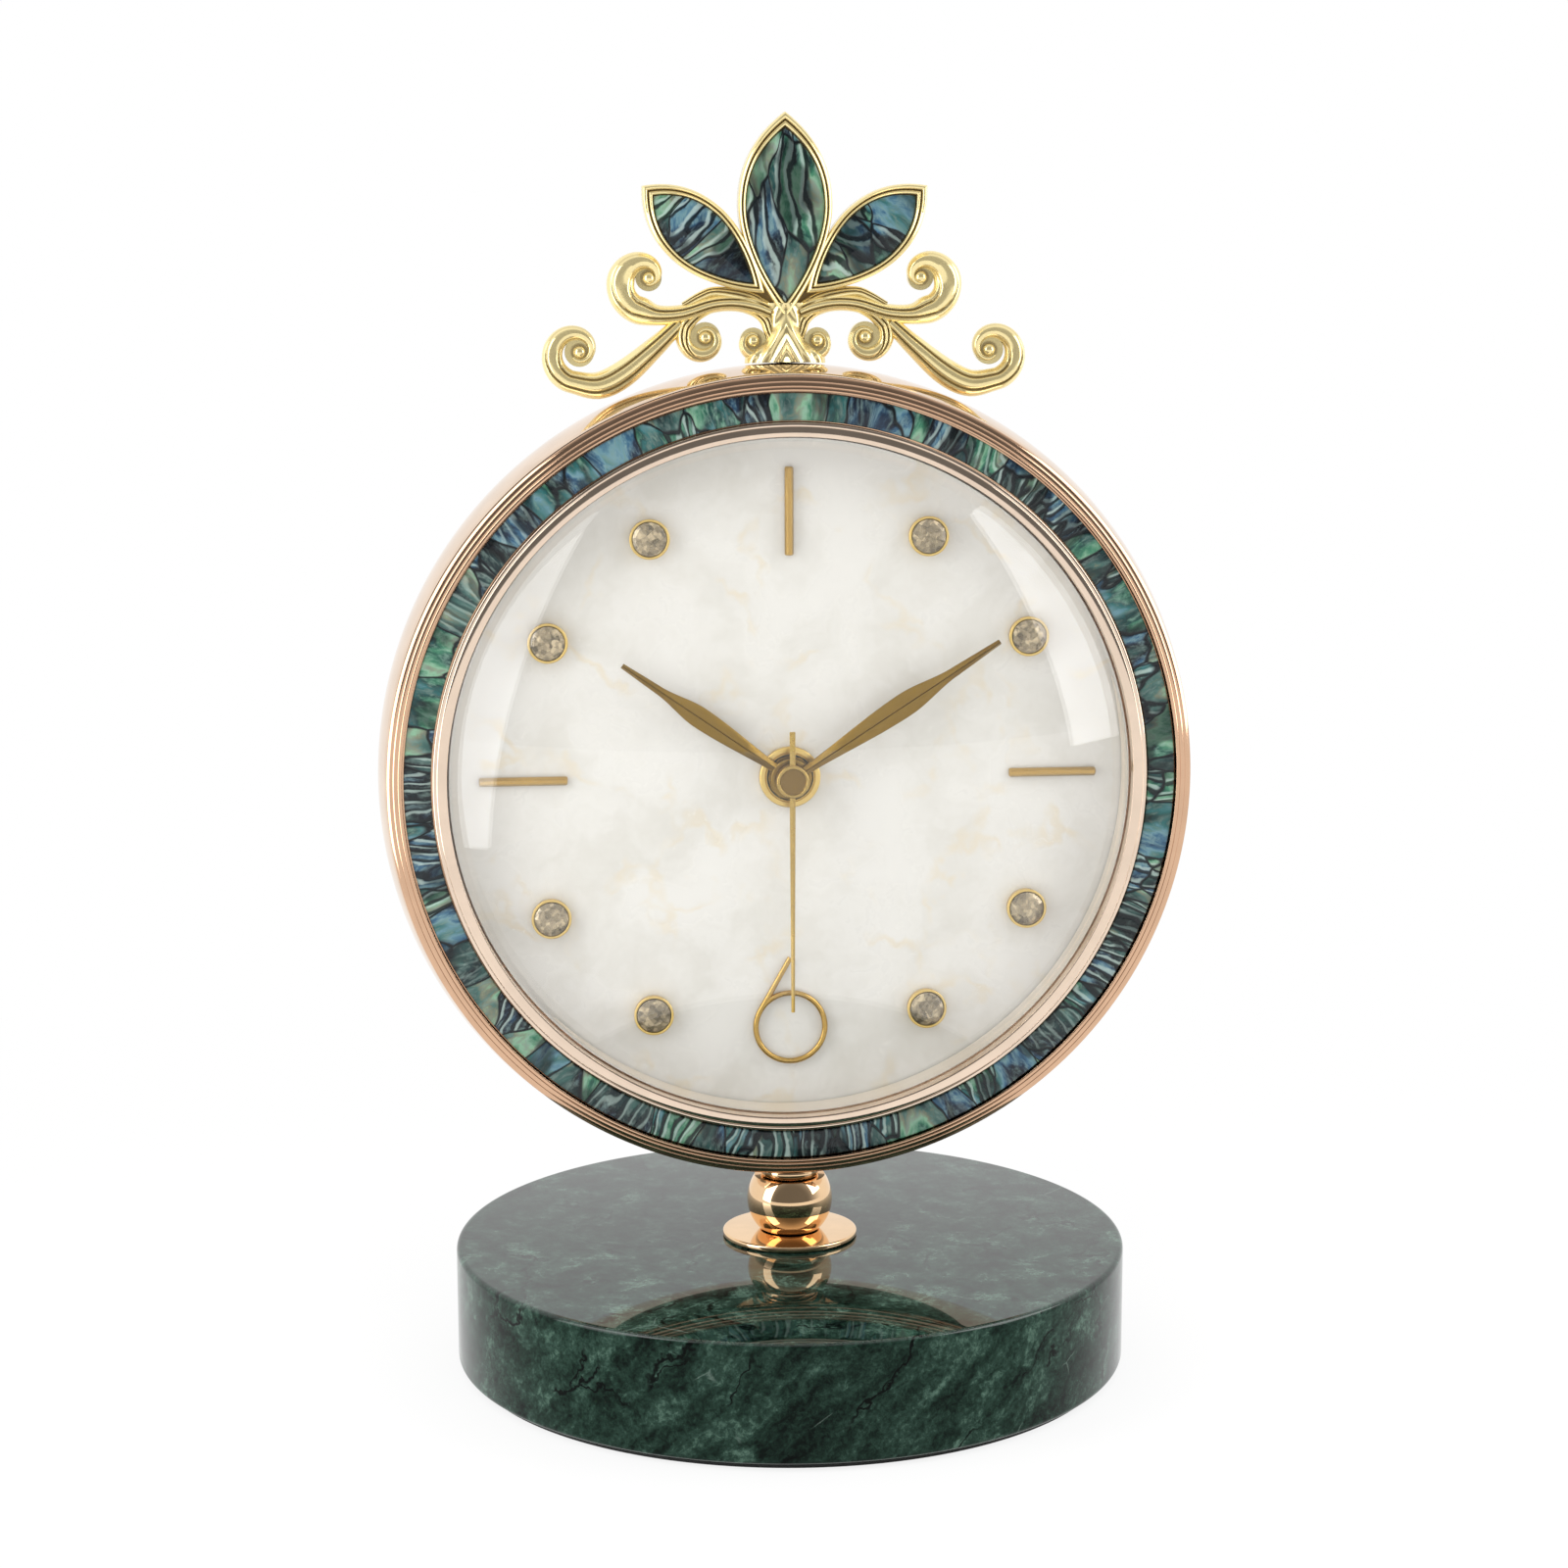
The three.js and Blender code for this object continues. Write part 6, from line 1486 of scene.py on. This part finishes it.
class ClockLeaves(bpy.types.Operator):
    """Abalone inserts of the three leaves"""
    bl_idname = "clock.leaves"
    bl_label = "Build Leaves"

    def execute(self, context):
        s = in_mm(context.scene.clock_crown)
        # Each insert's name, the place in the shell that it is cut from and the angle of its growth lines
        cuts = (
            ("left", (20.0, 0.0, 7.0), -0.85), ("centre", (5.0, 0.0, 40.0), 0.05),
            ("right", (60.0, 0.0, 3.0), 0.85))
        for (name, shift, lie), (leaf, long, wide) in zip(cuts, leaves(s)):
            abalone = shell(
                f"Abalone leaf {name}", shift, shards=0.14, lines=0.42, plain=0.40, light=0.0, lie=lie)
            skin = Skin().grid(self.insert(leaf, long, wide, s), loop_rows=True)
            skin.build(f"leaf_insert_{name}", abalone, "abalone", f"leaf_shell_{name}")
        return {"FINISHED"}

    @staticmethod
    def insert(leaf, long, wide, s):
        """A low dome: its rings draw in to the leaf's middle line as its face rises by a parabola."""
        gap, bevel = s.leaf_rim + 0.15, 0.15
        back, edge, face, rise = -0.6, -1.3, -1.45, 0.35
        share = np.linspace(0, 1, 14)
        insets = np.concatenate(
            [[gap, gap], gap + bevel + (wide - PIN - gap - bevel) * share, [wide - PIN]])
        depths = np.concatenate([[back, edge], face - rise * (1 - (1 - share) ** 2), [back]])
        return leaf_place(leaf_rings(long, wide, insets), depths, leaf, s)


# Stage

# Lamps as (name, place and size in metres, lean in degrees), the point that they face, and the width of the
# camera's sensor in millimetres
LAMPS = (
    ("Left strip", (-0.230, -0.104, 0.177), (0.124, 0.335), -8),
    ("Right strip", (0.245, -0.070, 0.208), (0.158, 0.225), 6))
AIM = Vector((0, 0, 0.11))
SENSOR_WIDTH = 36


class ClockStage(bpy.types.Operator):
    """Floor, surroundings, lamps and camera"""
    bl_idname = "clock.stage"
    bl_label = "Build Stage"

    def execute(self, context):
        s = context.scene.clock_stage
        context.scene.view_settings.view_transform = "Standard"
        self.floor(s, context.scene.clock_colours)
        self.surroundings(context.scene, s)
        for lamp in LAMPS:
            self.lamp(*lamp, s.strip)
        self.camera(context.scene, s)
        return {"FINISHED"}

    @staticmethod
    def camera(scene, s):
        """A level camera that looks along +Y, rolled, tilted and turned in that order."""
        data = bpy.data.cameras.new("Camera")
        data.lens = s.lens
        data.sensor_width = SENSOR_WIDTH
        camera = bpy.data.objects.new("Camera", data)
        turns = ((s.yaw, "Z"), (s.pitch, "X"), (s.roll, "Y"), (math.pi / 2, "X"))
        view = Matrix.Translation(s.camera)
        for amount, axis in turns:
            view = view @ Matrix.Rotation(amount, 4, axis)
        camera.matrix_world = view
        scene.collection.objects.link(camera)
        scene.camera = camera

    @staticmethod
    def floor(s, tones):
        """A round pale floor that the camera sees nearly white, with the clock's shadow on it. Its rings are
        in metres, and it turns plain white between two distances in millimetres."""
        a, r = around(64), np.array([0.0, 0.3, 1.0, 4.0])
        near, far = 90.0, 330.0
        x, y = np.outer(np.sin(a), r), np.outer(np.cos(a), r)
        points = np.stack([x, y, np.zeros_like(x)], -1)
        mesh = Skin().grid(points / MM, loop_rows=True, loop_columns=False).mesh("Floor")
        floor = bpy.data.objects.new("Floor", mesh)
        bpy.context.scene.collection.objects.link(floor)

        def draw(nodes, shader):
            at = nodes.coordinates()
            base = nodes.mix(nodes.noise(at, 0.02, 2.0), tinted(tones.floor, 0.99), tones.floor)
            nodes.paint(shader, Base_Color=base, Roughness=0.9)
            path = nodes.add("LightPath").outputs
            shown = nodes.math("MAXIMUM", path["Is Glossy Ray"], path["Is Transmission Ray"])
            seen = nodes.math("MAXIMUM", path["Is Camera Ray"], shown)
            white = nodes.add("Emission", None, Color=(1, 1, 1, 1), Strength=1.0).outputs[0]
            away = nodes.vector("LENGTH", at, out=1)
            share = nodes.times(seen, nodes.step(away, near, far, s.floor_white, 1.0))
            nodes.surface(share, shader.outputs[0], white)
        mesh.materials.append(finish("Pale floor", draw))

    @staticmethod
    def surroundings(scene, s):
        """White all round for the camera; polish shows it too, with a dimmer room in front of the clock."""
        scene.world = bpy.data.worlds.new("Studio")
        scene.world.use_nodes = True
        nodes = Nodes(scene.world.node_tree)
        path = nodes.add("LightPath").outputs
        seen = nodes.math("MAXIMUM", path["Is Camera Ray"], path["Is Transmission Ray"])
        _, depth, up = nodes.split(nodes.add("TexCoord").outputs["Generated"])
        light = nodes.add("Mix", {"data_type": "FLOAT"})
        nodes.feed(light.inputs[0], path["Is Glossy Ray"])
        nodes.feed(light.inputs[2], nodes.step(up, -0.3, 0.8, s.ambient, s.zenith))
        nodes.feed(light.inputs[3], nodes.step(depth, -0.75, 0.05, s.front, 1.0))
        strength = nodes.math("MAXIMUM", light.outputs[0], seen)
        nodes.paint(scene.world.node_tree.nodes["Background"], Color=(1, 1, 1, 1), Strength=strength)

    @staticmethod
    def lamp(name, at, size, lean, brightness):
        """An area lamp that faces the clock. Its power is its brightness times pi times its area."""
        data = bpy.data.lights.new(name, "AREA")
        data.shape = "RECTANGLE"
        data.size, data.size_y = size
        data.energy = brightness * math.pi * data.size * data.size_y
        lamp = bpy.data.objects.new(name, data)
        towards = (AIM - Vector(at)).to_track_quat("-Z", "Y").to_matrix().to_4x4()
        lamp.matrix_world = Matrix.Translation(at) @ towards @ Matrix.Rotation(math.radians(lean), 4, "Z")
        bpy.context.scene.collection.objects.link(lamp)


# Add-on

class ClockPanel(bpy.types.Panel):
    """Lists the steps that build the clock"""
    bl_idname = "VIEW3D_PT_clock"
    bl_label = "Tabletop Clock"
    bl_space_type = "VIEW_3D"
    bl_region_type = "UI"
    bl_category = "Clock"

    def draw(self, context):
        for step in STEPS:
            self.layout.operator(step.bl_idname)
        for name in GROUPS:
            box = self.layout.box()
            for field in GROUPS[name].__annotations__:
                box.prop(getattr(context.scene, name), field)


STEPS = (
    ClockStage, ClockFoot, ClockCase, ClockRear, ClockDial, ClockStuds, ClockHands, ClockCrown, ClockLeaves)
GROUPS = {
    "clock_foot": ClockFootSizes, "clock_case": ClockCaseSizes, "clock_dial": ClockDialSizes,
    "clock_hands": ClockHandSizes, "clock_crown": ClockCrownSizes, "clock_rear": ClockRearSizes,
    "clock_colours": ClockColours, "clock_stage": ClockStageSettings,
}


def register():
    for kind in (*GROUPS.values(), *STEPS, ClockPanel):
        bpy.utils.register_class(kind)
    for name, kind in GROUPS.items():
        setattr(bpy.types.Scene, name, PointerProperty(type=kind))


def unregister():
    for name in GROUPS:
        delattr(bpy.types.Scene, name)
    for kind in (ClockPanel, *reversed(STEPS), *reversed(GROUPS.values())):
        bpy.utils.unregister_class(kind)


def main():
    register()
    for step in STEPS:
        group, name = step.bl_idname.split(".")
        getattr(getattr(bpy.ops, group), name)()


if __name__ == "__main__":
    main()
